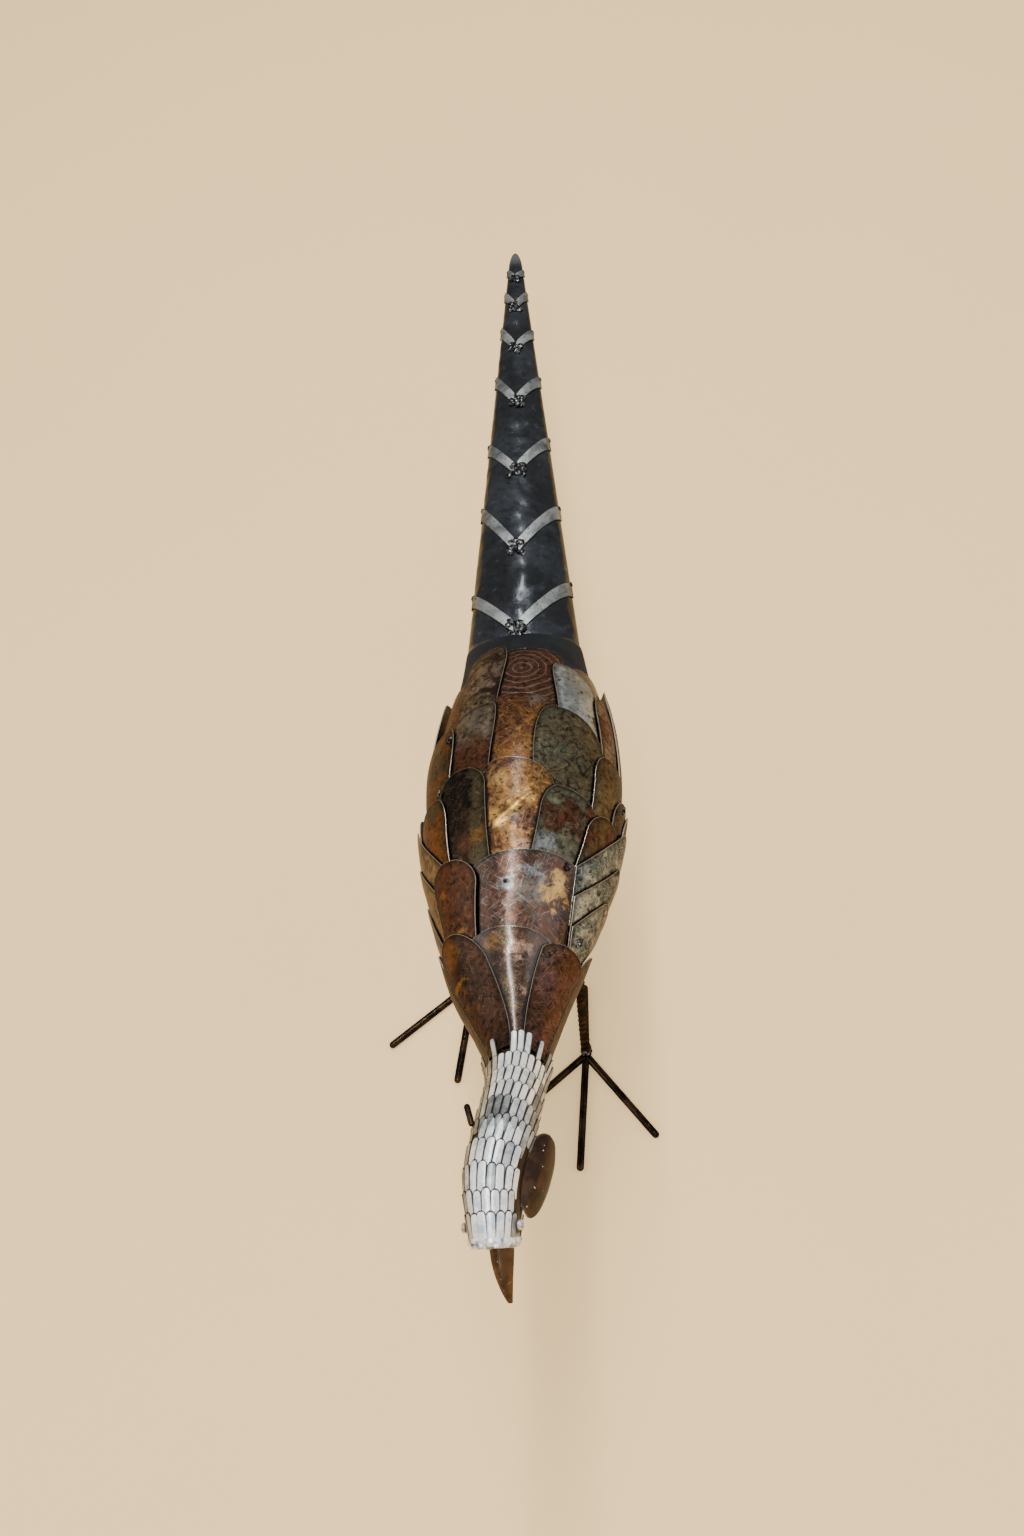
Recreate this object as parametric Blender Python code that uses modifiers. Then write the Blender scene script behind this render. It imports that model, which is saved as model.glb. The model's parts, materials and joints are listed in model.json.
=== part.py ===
"""A standing pheasant welded from overlapping sheet plates on round bar legs.

Metres, +Z up. The bird looks towards -Y, its tail runs towards +Y, and +X is on its left hand
side, which is the right of the picture when it is seen from the front and above.
"""
import math

import bmesh
import bpy
from mathutils import Matrix, Vector

# Sheet and bar stock
SHEET = 0.0010            # thickness of the body plates
LAP_AIR = 0.0009          # air between two plates that lie on one another
TAIL_SHEET = 0.0010       # thickness of the tail trough
BAND_SHEET = 0.0008       # thickness of the light bands on the tail
TOUCH = 0.0003            # gap kept where two pieces are welded face to face
TOE_BAR = 0.0064          # diameter of the toe bars
LEG_BAR = 0.0080          # diameter of the ribbed leg bars
TUFT_BAR = 0.0042         # diameter of the ear tuft bar

# The stations of the inner skin that the plates are laid on, from the tail root to the beak:
# across, along, up, half width, rise above the spine, drop below it, tilt in degrees
STATIONS = [
    (0.0018, 0.158, 0.262, 0.0390, 0.0150, 0.0200, 0),
    (0.0038, 0.115, 0.271, 0.0470, 0.0325, 0.0370, 0),
    (0.0048, 0.058, 0.280, 0.0610, 0.0500, 0.0510, 0),
    (0.0033, 0.000, 0.285, 0.0682, 0.0620, 0.0610, 0),
    (0.0001, -0.058, 0.287, 0.0640, 0.0630, 0.0630, 0),
    (-0.0030, -0.110, 0.289, 0.0502, 0.0550, 0.0570, 0),
    (-0.0039, -0.156, 0.294, 0.0375, 0.0400, 0.0440, 0),
    (-0.0012, -0.195, 0.303, 0.0245, 0.0270, 0.0300, 0),
    (0.0010, -0.225, 0.315, 0.0165, 0.0190, 0.0215, 0),
    (0.0013, -0.252, 0.332, 0.0135, 0.0150, 0.0175, 0),
    (-0.0001, -0.276, 0.350, 0.0130, 0.0135, 0.0155, -4),
    (-0.0031, -0.299, 0.364, 0.0137, 0.0125, 0.0155, -10),
    (-0.0084, -0.328, 0.371, 0.0128, 0.0135, 0.0175, -14),
    (-0.0082, -0.357, 0.369, 0.0104, 0.0132, 0.0180, -15),
    (-0.0082, -0.381, 0.361, 0.0080, 0.0100, 0.0140, -15),
]
SPAN_STEPS = 16           # fine steps between two stations

# Every plate lies at a whole number of levels; one level is a sheet and the air above it.
# A plate climbs one level for each LEVEL_RUN that it runs back towards the tail.
LEVEL = SHEET + LAP_AIR
LEVEL_RUN = 0.030
LEVEL_ZERO = 0.170        # distance along the spine where level 0 touches the inner skin

# Body plates: name: (level, tip along, tip angle, root along, root angle, width,
#                     root share of the width, rounding of the tip as a share of the width,
#                     lean of the tip, -1 to 1, colour)
# Distances run along the spine from the tail root; angles run from the ridge, + towards +X.
COPPER_BROWN = (0.20, 0.09, 0.045)
GOLD_BROWN = (0.27, 0.15, 0.05)
BRASS = (0.42, 0.28, 0.10)
OLIVE = (0.12, 0.105, 0.055)
GREY_BROWN = (0.17, 0.13, 0.10)
BLUE_STEEL = (0.20, 0.23, 0.24)
PALE_STEEL = (0.36, 0.36, 0.34)
PLATES = {
    "nape_left": (11, 0.300, -52, 0.406, -31, 0.046, 0.40, 0.62, -0.2, GOLD_BROWN),
    "nape_middle": (10, 0.305, 3, 0.408, 0, 0.070, 0.20, 0.27, 0, COPPER_BROWN),
    "nape_right": (11, 0.311, 61, 0.406, 42, 0.048, 0.40, 0.25, 0.3, COPPER_BROWN),
    "mantle_left": (9, 0.247, -38, 0.311, -45, 0.045, 0.70, 0.42, 0, COPPER_BROWN),
    "mantle_middle": (7, 0.243, 15, 0.335, 21, 0.092, 0.90, 0.20, 0, COPPER_BROWN),
    "back_far_left": (6, 0.189, -55, 0.268, -59, 0.038, 0.90, 0.60, 0.4, GOLD_BROWN),
    "back_left": (5, 0.172, -31, 0.262, -30, 0.041, 0.95, 0.42, 0.1, OLIVE),
    "back_middle": (4, 0.167, 1, 0.262, 0, 0.064, 0.85, 0.45, -0.1, BRASS),
    "back_right": (5, 0.188, 37, 0.262, 33, 0.047, 0.85, 0.40, -0.5, GREY_BROWN),
    "back_far_right": (6, 0.198, 64, 0.262, 61, 0.038, 0.90, 0.50, 0, COPPER_BROWN),
    "back_side_right": (5, 0.170, 86, 0.245, 88, 0.042, 0.90, 0.50, 0, OLIVE),
    "rump_side_left": (2, 0.155, -78, 0.235, -82, 0.042, 0.90, 0.50, 0, OLIVE),
    "rump_far_left": (4, 0.124, -54, 0.205, -56, 0.038, 0.90, 0.90, 0.6, GOLD_BROWN),
    "rump_left": (3, 0.108, -29, 0.195, -32, 0.043, 0.95, 0.75, 0.75, GREY_BROWN),
    "rump_middle": (2, 0.101, 2, 0.190, 0, 0.062, 0.80, 0.30, 0, GOLD_BROWN),
    "rump_right": (3, 0.114, 33, 0.205, 37, 0.062, 0.90, 0.80, -0.45, OLIVE),
    "rump_far_right": (4, 0.147, 66, 0.215, 66, 0.040, 0.90, 0.50, -0.3, OLIVE),
    "covert_far_left": (0, 0.060, -58, 0.160, -62, 0.042, 0.95, 0.80, 0.6, COPPER_BROWN),
    "covert_left": (1, 0.030, -29, 0.150, -31, 0.036, 1.00, 0.75, 0.6, GREY_BROWN),
    "covert_middle": (0, 0.036, 6, 0.150, 4, 0.060, 1.00, 0.25, 0.1, COPPER_BROWN),
    "covert_right": (1, 0.058, 43, 0.165, 44, 0.038, 1.00, 0.80, -0.7, PALE_STEEL),
    "covert_under_right": (0, 0.053, 61, 0.140, 62, 0.040, 1.00, 0.50, 0, OLIVE),
    "covert_far_right": (2, 0.083, 76, 0.162, 76, 0.040, 0.95, 0.60, -0.5, COPPER_BROWN),
    "breast_left": (10, 0.283, -118, 0.405, -105, 0.072, 0.40, 0.50, 0, COPPER_BROWN),
    "breast_right": (10, 0.285, 122, 0.405, 108, 0.068, 0.40, 0.50, 0, COPPER_BROWN),
    "breast_middle": (11, 0.283, 180, 0.403, 180, 0.064, 0.26, 0.50, 0, GREY_BROWN),
    "belly_left": (6, 0.163, -122, 0.300, -119, 0.092, 0.85, 0.36, 0, GREY_BROWN),
    "belly_right": (6, 0.163, 122, 0.300, 119, 0.092, 0.85, 0.36, 0, GREY_BROWN),
    "belly_middle": (7, 0.163, 180, 0.300, 180, 0.086, 0.85, 0.40, 0, COPPER_BROWN),
    "vent_left": (3, 0.048, -118, 0.185, -118, 0.086, 1.00, 0.45, 0, COPPER_BROWN),
    "vent_right": (3, 0.048, 118, 0.185, 118, 0.086, 1.00, 0.45, 0, COPPER_BROWN),
    "vent_middle": (4, 0.030, 180, 0.185, 180, 0.076, 0.95, 0.50, 0, GREY_BROWN),
}
# Three slanting strips on each side make the folded wing
WINGS = {
    "wing_right_1": (7, 0.199, 100, 0.281, 40, 0.036, 0.95, 0.30, 0, BLUE_STEEL),
    "wing_right_2": (8, 0.229, 100, 0.302, 46, 0.034, 0.95, 0.30, 0, BLUE_STEEL),
    "wing_right_3": (9, 0.256, 100, 0.321, 56, 0.034, 0.95, 0.30, 0, BLUE_STEEL),
    "wing_left_1": (7, 0.196, -100, 0.278, -44, 0.036, 0.95, 0.30, 0, PALE_STEEL),
    "wing_left_2": (8, 0.228, -100, 0.299, -52, 0.034, 0.95, 0.30, 0, PALE_STEEL),
    "wing_left_3": (9, 0.254, -102, 0.306, -80, 0.028, 0.95, 0.30, 0, PALE_STEEL),
}
# The seam where the right wing butts against the middle mantle plate
SEAM_REAR = (0.245, 45)
SEAM_FRONT = (0.310, 61)
SEAM_AIR = 0.0008

FACET_ACROSS = 0.0150     # longest flat facet across a plate
FACET_ALONG = 0.0230      # longest flat facet along the spine
TIP_TURNS = (38, 68)      # where the round of a tip is stepped, in degrees
TIP_FULLNESS = 2.2        # 2 makes a tip an ellipse, more makes it squarer

# Tail trough
TAIL_TUCK = 0.095         # length hidden under the plates
TAIL_LEVEL = -1.5         # the level that the tucked length lies at
TAIL_FREE = 0.474         # length behind the body
TAIL_HALF_WIDTH = 0.0460  # at the body
TAIL_END_HALF_WIDTH = 0.0040
TAIL_ARCH = 0.48          # height of the arch as a share of its half width
TAIL_SIDE_DRIFT = -0.0058 # how far the tip lies towards -X
TAIL_CLIMB = 0.0100       # how far the edges rise from body to tip
TAIL_RIDGE_SHIFT = -0.0040
TAIL_COLUMNS = 10
TAIL_ROWS = 5
TIP_LENGTH = 0.016        # length over which the end of the tail is rounded

# Light bands on the tail: distance of the vertex behind the body, width, sweep left, sweep right.
# The distances are those on a tail of BAND_PATTERN and stretch with TAIL_FREE.
BAND_PATTERN = 0.474
BANDS = [
    (0.003, 0.0115, 1.05, 1.22),
    (0.090, 0.0110, 1.50, 1.40),
    (0.180, 0.0108, 1.30, 1.42),
    (0.265, 0.0100, 1.60, 1.46),
    (0.334, 0.0092, 1.80, 1.50),
    (0.391, 0.0082, 1.70, 1.60),
    (0.432, 0.0074, 1.30, 1.20),
]

# Feet: where the toes meet, then where each toe ends (across, along)
RIGHT_FOOT = {
    "meet": (0.0275, -0.0911),
    "toes": [(0.0871, -0.1689), (0.0200, -0.1961), (-0.0485, -0.1560), (0.0277, -0.0235)],
}
LEFT_FOOT = {
    "meet": (-0.0717, -0.0142),
    "toes": [(-0.1475, -0.0749), (-0.0865, -0.1119), (-0.0080, -0.0920), (-0.0700, 0.0660)],
}
TOE_SIDES = 8
WELD_RADIUS = 0.0085
WELD_HEIGHT = 0.0100      # top of the weld where the leg bar stands
# Where each leg meets the belly: distance along the spine, angle, level of the plate it meets
RIGHT_HIP = (0.196, 156, 7)
LEFT_HIP = (0.180, -156, 7)

# Neck and head sleeves of small feathers
FEATHERS_AROUND = 18
FEATHER_SHEET = 0.0012
NECK_ROWS = [0.394, 0.4125, 0.430, 0.4465, 0.4625]
NECK_FRONT = 0.4830
NECK_LEVEL = 12           # the sleeve starts over the roots of the nape plates
NECK_LIFT = 0.0074
NECK_INNER = 0.0042
HEAD_ROWS = [0.4795, 0.4930, 0.5070, 0.5210, 0.5335]
HEAD_FRONT = 0.5470
HEAD_LIFT = 0.0072
HEAD_WALL = 0.0014
ROW_STEP = 0.0012         # how far a feather row stands over the one in front of it
NOTCH = 0.0032            # depth of the notch between two feather tips

# Beak, in lengths along the head's own axis and below it
BEAK_RINGS = [
    (0.0000, 0.0000, 0.0080, 0.0085),
    (0.0090, 0.0008, 0.0071, 0.0076),
    (0.0180, 0.0030, 0.0055, 0.0060),
    (0.0265, 0.0068, 0.0036, 0.0040),
    (0.0325, 0.0110, 0.0018, 0.0022),
]
BEAK_SIDES = 10
BEAK_DROP = 0.0030        # how far the beak's root lies below the middle of the head
BEAK_SIDE = 0.0038        # how far it lies towards +X of that middle

# Cheek plates, eyes and ear tuft: distance behind the front of the head and angle from the ridge
CHEEK = {"behind_front": 0.051, "angle": 102, "stand_off": 0.0020, "length": 0.056, "depth": 0.032,
         "yaw": 6, "dish": 0.003}
EYE = {"behind_front": 0.0070, "angle": 84, "radius": 0.0033, "height": 0.0024}
TUFT = {"behind_front": 0.063, "angle": -40, "length": 0.0155, "lean": 34}


def clear_scene():
    for item in list(bpy.data.objects):
        bpy.data.objects.remove(item, do_unlink=True)


def collection(name):
    made = bpy.data.collections.new(name)
    bpy.context.scene.collection.children.link(made)
    return made


def finish_of(name, colour, roughness, metallic):
    made = bpy.data.materials.get(name)
    if made is None:
        made = bpy.data.materials.new(name)
        made.use_nodes = True
        shader = made.node_tree.nodes["Principled BSDF"]
        shader.inputs["Base Color"].default_value = (*colour, 1.0)
        shader.inputs["Roughness"].default_value = roughness
        shader.inputs["Metallic"].default_value = metallic
    return made


def add_object(name, shape, group, colour, roughness=0.4, metallic=0.9):
    """Turns a bmesh into a named object with a material of its own."""
    mesh = bpy.data.meshes.new(name)
    shape.to_mesh(mesh)
    shape.free()
    made = bpy.data.objects.new(name, mesh)
    group.objects.link(made)
    made.data.materials.append(finish_of(name + "_metal", colour, roughness, metallic))
    return made


def catmull(before, here, after, beyond, t):
    """A point between here and after on a smooth curve through all four rows of numbers."""
    out = []
    for a, b, c, d in zip(before, here, after, beyond):
        square = 2 * a - 5 * b + 4 * c - d
        cube = 3 * b - a - 3 * c + d
        out.append(0.5 * (2 * b + (c - a) * t + square * t ** 2 + cube * t ** 3))
    return out


def fine_spine():
    """The stations filled in finely, each with its distance along the spine in front."""
    first = [2 * a - b for a, b in zip(STATIONS[0], STATIONS[1])]
    last = [2 * a - b for a, b in zip(STATIONS[-1], STATIONS[-2])]
    known = [first, *STATIONS, last]
    rows = []
    for i in range(1, len(known) - 2):
        for step in range(SPAN_STEPS):
            rows.append(catmull(*known[i - 1:i + 3], step / SPAN_STEPS))
    rows.append(list(STATIONS[-1]))
    run = 0.0
    out = [[0.0, *rows[0]]]
    for old, new in zip(rows, rows[1:]):
        run += (Vector(new[:3]) - Vector(old[:3])).length
        out.append([run, *new])
    return out


SPINE = fine_spine()


def station(along):
    """Centre, side, up, forward, half width, rise and drop of the skin at a distance along the spine."""
    along = min(max(along, SPINE[0][0]), SPINE[-1][0])
    i = 0
    while i < len(SPINE) - 2 and SPINE[i + 1][0] < along:
        i += 1
    low, high = SPINE[i], SPINE[i + 1]
    t = (along - low[0]) / (high[0] - low[0])
    row = [a + (b - a) * t for a, b in zip(low, high)]
    behind, ahead = SPINE[max(i - 1, 0)], SPINE[min(i + 2, len(SPINE) - 1)]
    forward = (Vector(ahead[1:4]) - Vector(behind[1:4])).normalized()
    across = Vector((1, 0, 0))
    across = (across - forward * across.dot(forward)).normalized()
    up = across.cross(forward)
    if up.z < 0:
        up = -up
    tilt = math.radians(row[7])
    side = across * math.cos(tilt) - up * math.sin(tilt)
    top = up * math.cos(tilt) + across * math.sin(tilt)
    return Vector(row[1:4]), side, top, forward, row[4], row[5], row[6]


def skin(along, angle, lift=0.0):
    """A point on the inner skin, raised by lift along the skin's normal."""
    centre, side, top, _, half_width, rise, drop = station(along)
    turn = math.radians(angle)
    height = rise if math.cos(turn) > 0 else drop
    normal = (side * math.sin(turn) * height + top * math.cos(turn) * half_width).normalized()
    return centre + side * half_width * math.sin(turn) + top * height * math.cos(turn) + normal * lift


def skin_normal(along, angle):
    return (skin(along, angle, 0.001) - skin(along, angle)).normalized()


def level_lift(level, along):
    """How far the underside of a plate of this level stands off the skin."""
    return LEVEL * (level + (LEVEL_ZERO - along) / LEVEL_RUN)


def step_around(along, angle, distance, lift):
    """The angle reached by walking a distance round the lifted skin."""
    _, _, _, _, half_width, rise, drop = station(along)
    steps = 6
    for _ in range(steps):
        turn = math.radians(angle)
        height = rise if math.cos(turn) > 0 else drop
        rate = math.hypot(half_width * math.cos(turn), height * math.sin(turn)) + lift
        angle += math.degrees(distance / steps / rate)
    return angle


def plate_rows(length, facet, width, root_share, rounding, lean):
    """For each row from root to tip: share of the length, half width and sideways shift."""
    flat_end = 1 - rounding * width / length
    steps = math.ceil(length * flat_end / facet)
    rows = []
    for step in range(steps + 1):
        swell = root_share + (1 - root_share) * step / steps
        rows.append((flat_end * step / steps, width / 2 * swell, 0.0))
    for turn in TIP_TURNS:
        reach = math.sin(math.radians(turn))
        half = width / 2 * (1 - reach ** TIP_FULLNESS) ** (1 / TIP_FULLNESS)
        rows.append((flat_end + (1 - flat_end) * reach, half, lean * (width / 2 - half)))
    rows.append((1.0, 0.0, lean * width / 2))
    return rows


def plate_blank(level, tip_along, tip_angle, root_along, root_angle, width, root_share, rounding, lean):
    """An open sheet laid on the skin, its faces outwards, its tip closed to a point."""
    _, _, _, _, half_width, rise, _ = station((tip_along + root_along) / 2)
    run_around = math.radians(tip_angle - root_angle) * (half_width + rise) / 2
    run_along = tip_along - root_along
    length = math.hypot(run_around, run_along)
    facet = FACET_ALONG + (FACET_ACROSS - FACET_ALONG) * abs(run_around) / length
    columns = max(3, math.ceil(width / FACET_ACROSS))
    rows = plate_rows(length, facet, width, root_share, rounding, lean)
    hand = 1 if run_along < 0 else -1
    shape = bmesh.new()
    bmesh.ops.create_grid(shape, x_segments=columns, y_segments=len(rows) - 1, size=0.5)
    for vert in shape.verts:
        column = round((vert.co.x + 0.5) * columns)
        share, half, shift = rows[round((vert.co.y + 0.5) * (len(rows) - 1))]
        angle = root_angle + (tip_angle - root_angle) * share
        reach = hand * shift + half * (2 * column / columns - 1)
        along = root_along + run_along * share + reach * run_around / length
        lift = level_lift(level, along)
        turned = step_around(along, angle, -reach * run_along / length, max(lift, 0.0))
        vert.co = skin(along, turned, lift)
    bmesh.ops.remove_doubles(shape, verts=shape.verts, dist=0.00005)
    bmesh.ops.recalc_face_normals(shape, faces=shape.faces)
    face_out(shape, skin_normal((tip_along + root_along) / 2, (tip_angle + root_angle) / 2))
    return shape


def face_out(shape, outward):
    """Turns the faces of an open sheet to the side that outward points to."""
    total = Vector((0, 0, 0))
    for face in shape.faces:
        total += face.normal * face.calc_area()
    if total.dot(outward) < 0:
        bmesh.ops.reverse_faces(shape, faces=shape.faces)


def thicken(item, thickness):
    """Gives an open sheet its wall, outwards."""
    made = item.modifiers.new("wall", "SOLIDIFY")
    made.thickness = thickness
    made.offset = 1.0
    made.use_even_offset = False


def seam_plane():
    """A point on the wing seam and the seam's normal, which points to the wing."""
    rear = skin(*SEAM_REAR, 0.006)
    front = skin(*SEAM_FRONT, 0.006)
    outward = skin_normal((SEAM_REAR[0] + SEAM_FRONT[0]) / 2, (SEAM_REAR[1] + SEAM_FRONT[1]) / 2)
    normal = (front - rear).cross(outward).normalized()
    if normal.x < 0:
        normal = -normal
    return rear, normal


def trim(shape, point, normal):
    """Cuts away what lies on the side that the normal points to."""
    geometry = [*shape.verts, *shape.edges, *shape.faces]
    bmesh.ops.bisect_plane(shape, geom=geometry, plane_co=point, plane_no=normal, dist=1e-6,
                           clear_outer=True)


def make_plates(group):
    point, normal = seam_plane()
    for name, values in {**PLATES, **WINGS}.items():
        shape = plate_blank(*values[:-1])
        if name == "mantle_middle":
            trim(shape, point - normal * SEAM_AIR / 2, normal)
        if name.startswith("wing_right"):
            trim(shape, point + normal * SEAM_AIR / 2, -normal)
        plate = add_object(name, shape, group, values[-1])
        thicken(plate, SHEET)


def tail_half_width(behind):
    """Half width of the trough at a distance behind the body, with a rounded end."""
    straight = TAIL_HALF_WIDTH + (TAIL_END_HALF_WIDTH - TAIL_HALF_WIDTH) * behind / TAIL_FREE
    left = max(TAIL_FREE - behind, 0.0)
    if left < TIP_LENGTH:
        straight *= math.sqrt(1 - (1 - left / TIP_LENGTH) ** 2)
    return straight


def tail_point(behind, angle, lift=0.0):
    """A point on the underside of the trough; a negative distance lies inside the body."""
    across = Vector((1, 0, 0))
    up = Vector((0, 0, 1))
    turn = math.radians(angle)
    if behind < 0:
        shift = TAIL_RIDGE_SHIFT * (1 + behind / TAIL_TUCK)
        return skin(-behind, angle, level_lift(TAIL_LEVEL, -behind) + lift) + across * shift * math.cos(turn)
    centre = station(0)[0]
    share = behind / TAIL_FREE
    half_width = tail_half_width(behind)
    height = half_width * TAIL_ARCH
    shift = TAIL_RIDGE_SHIFT * (1 - share)
    normal = (across * math.sin(turn) * height + up * math.cos(turn) * half_width).normalized()
    middle = centre + Vector((TAIL_SIDE_DRIFT * share, behind, TAIL_CLIMB * share))
    sideways = half_width * math.sin(turn) + shift * math.cos(turn)
    return middle + across * sideways + up * height * math.cos(turn) + normal * lift


def make_tail(group):
    runs = [-TAIL_TUCK, -TAIL_TUCK * 0.66, -TAIL_TUCK * 0.33, 0.0]
    runs += [TAIL_FREE * (i + 1) / TAIL_ROWS * 0.966 for i in range(TAIL_ROWS)]
    runs += [TAIL_FREE - TIP_LENGTH * 0.4, TAIL_FREE - TIP_LENGTH * 0.1, TAIL_FREE - 0.0002]
    runs = sorted(runs)
    shape = bmesh.new()
    bmesh.ops.create_grid(shape, x_segments=TAIL_COLUMNS, y_segments=len(runs) - 1, size=0.5)
    for vert in shape.verts:
        column = round((vert.co.x + 0.5) * TAIL_COLUMNS)
        row = round((vert.co.y + 0.5) * (len(runs) - 1))
        vert.co = tail_point(runs[row], 180 * column / TAIL_COLUMNS - 90)
    bmesh.ops.recalc_face_normals(shape, faces=shape.faces)
    face_out(shape, Vector((0, 0, 1)))
    thicken(add_object("tail_trough", shape, group, (0.03, 0.04, 0.06), 0.35), TAIL_SHEET)


def make_bands(group):
    """Each band is a V of thin strip that follows the arch and points to the head."""
    columns = TAIL_COLUMNS
    for number, (distance, width, left_sweep, right_sweep) in enumerate(BANDS, 1):
        vertex = distance * TAIL_FREE / BAND_PATTERN
        shape = bmesh.new()
        bmesh.ops.create_grid(shape, x_segments=columns, y_segments=1, size=0.5)
        for vert in shape.verts:
            angle = 180 * (vert.co.x + 0.5) - 90
            sweep = left_sweep if angle < 0 else right_sweep
            slant = math.hypot(1, sweep)
            behind = vertex
            for _ in range(6):
                reach = tail_half_width(max(behind, 0)) * abs(math.sin(math.radians(angle)))
                behind = vertex + sweep * reach
            behind += (vert.co.y + 0.5) * width * slant * 0.8
            vert.co = tail_point(min(behind, TAIL_FREE - 0.002), angle, TAIL_SHEET + TOUCH)
        bmesh.ops.recalc_face_normals(shape, faces=shape.faces)
        face_out(shape, Vector((0, 0, 1)))
        band = add_object(f"tail_band_{number}", shape, group, (0.45, 0.47, 0.47), 0.45)
        thicken(band, BAND_SHEET)


def bar(shape, start, end, diameter, sides, round_end=True):
    """Adds a round bar with a flat facet underneath; its far end is rounded."""
    axis = end - start
    length = axis.length
    turn = axis.to_track_quat("Z", "Y").to_matrix().to_4x4()
    facet = Matrix.Rotation(math.pi / sides, 4, "Z")
    place = Matrix.Translation((start + end) / 2) @ turn @ facet
    made = bmesh.ops.create_cone(shape, cap_ends=True, cap_tris=False, segments=sides, radius1=diameter / 2,
                                 radius2=diameter / 2, depth=length, matrix=place)
    if round_end:
        far = [v for v in made["verts"] if (v.co - end).length < diameter * 0.6]
        rim = [e for e in shape.edges if e.verts[0] in far and e.verts[1] in far]
        bmesh.ops.bevel(shape, geom=rim, offset=diameter * 0.24, segments=1, affect="EDGES", profile=0.5,
                        material=-1)


def hip_point(hip):
    along, angle, level = hip
    return skin(along, angle, level_lift(level, along) + SHEET)


def leg_axis(foot, hip):
    base = Vector((*foot["meet"], 0.0))
    top = hip_point(hip)
    return base, top, (top - base).normalized()


def make_foot(name, foot, hip, group, cutters):
    """Four toe bars and the weld that joins them, cut flat where they stand."""
    base, _, axis = leg_axis(foot, hip)
    middle_height = TOE_BAR / 2 * math.cos(math.pi / TOE_SIDES) - 0.0002
    meet = base + Vector((0, 0, middle_height))
    weld = bmesh.new()
    squash = Matrix.Diagonal((1.0, 1.0, 0.85, 1.0))
    bmesh.ops.create_uvsphere(weld, u_segments=12, v_segments=8, radius=WELD_RADIUS,
                              matrix=Matrix.Translation(meet) @ squash)
    made = add_object(name, weld, group, (0.05, 0.045, 0.04), 0.45)
    toes = []
    for number, (across, along) in enumerate(foot["toes"], 1):
        toe = bmesh.new()
        bar(toe, meet, Vector((across, along, middle_height)), TOE_BAR, TOE_SIDES)
        item = add_object(f"{name}_toe_{number}", toe, cutters, (0.05, 0.045, 0.04), 0.45)
        join = made.modifiers.new(item.name, "BOOLEAN")
        join.operation = "UNION"
        join.object = item
        toes.append(item)
    bake(made)
    for item in toes:
        bpy.data.objects.remove(item, do_unlink=True)
    shape = bmesh.new()
    shape.from_mesh(made.data)
    cap(shape, Vector((0, 0, 0)), Vector((0, 0, -1)))
    cap(shape, base + axis * WELD_HEIGHT, axis)
    shape.to_mesh(made.data)
    shape.free()


def bake(item):
    """Replaces an object's mesh by what its modifiers make of it."""
    bpy.context.view_layer.update()
    seen = item.evaluated_get(bpy.context.evaluated_depsgraph_get())
    mesh = bpy.data.meshes.new_from_object(seen)
    item.modifiers.clear()
    item.data = mesh


def cap(shape, point, normal):
    """Cuts a closed shape with a plane and closes the cut with one flat face."""
    trim(shape, point, normal)
    rim = [edge for edge in shape.edges if edge.is_boundary]
    bmesh.ops.holes_fill(shape, edges=rim, sides=0)
    bmesh.ops.remove_doubles(shape, verts=shape.verts, dist=0.00002)


def make_leg(name, foot, hip, group):
    """A straight bar from the weld to the belly plate, mitred to lie against the plate."""
    base, top, axis = leg_axis(foot, hip)
    shape = bmesh.new()
    bar(shape, base + axis * (WELD_HEIGHT + TOUCH), top + axis * LEG_BAR, LEG_BAR, 10, round_end=False)
    facing = skin_normal(hip[0], hip[1])
    cap(shape, top + facing * 2 * TOUCH, -facing)
    add_object(name, shape, group, (0.07, 0.055, 0.045), 0.55)


def close_faces(shape, rings, loop):
    """Joins rings of vertices one to the next; loop joins the last to the first."""
    count = len(rings[0])
    pairs = list(zip(rings, rings[1:])) + ([(rings[-1], rings[0])] if loop else [])
    for one, other in pairs:
        for i in range(count):
            j = (i + 1) % count
            shape.faces.new((one[i], one[j], other[j], other[i]))


def feather_ring(shape, along, lift, shifted, notch=NOTCH):
    """A ring round the skin whose vertices zigzag like the tips of a row of feathers."""
    count = FEATHERS_AROUND * 2
    ring = []
    for i in range(count):
        forward = notch if (i + shifted) % 2 else 0.0
        ring.append(shape.verts.new(skin(along + forward, 360 * i / count, lift)))
    return ring


def feather_rows(shape, rows, front, lifts):
    """Outer rings of a sleeve: each row starts high at its tips and sinks to its root."""
    rings = []
    ends = [*rows[1:], front]
    for number, (start, end) in enumerate(zip(rows, ends)):
        high, low = lifts(number, start, end)
        shifted = number % 2
        rings.append(feather_ring(shape, start, high, shifted))
        last = number == len(rows) - 1
        rings.append(feather_ring(shape, end, low, 1 - shifted, 0.0 if last else NOTCH))
    return rings


def neck_lifts(number, start, end):
    if number == 0:
        return level_lift(NECK_LEVEL, start) + FEATHER_SHEET, NECK_LIFT - ROW_STEP + 0.0010
    low = NECK_INNER + 0.0005 if end == NECK_FRONT else NECK_LIFT - ROW_STEP
    return NECK_LIFT, low


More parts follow.
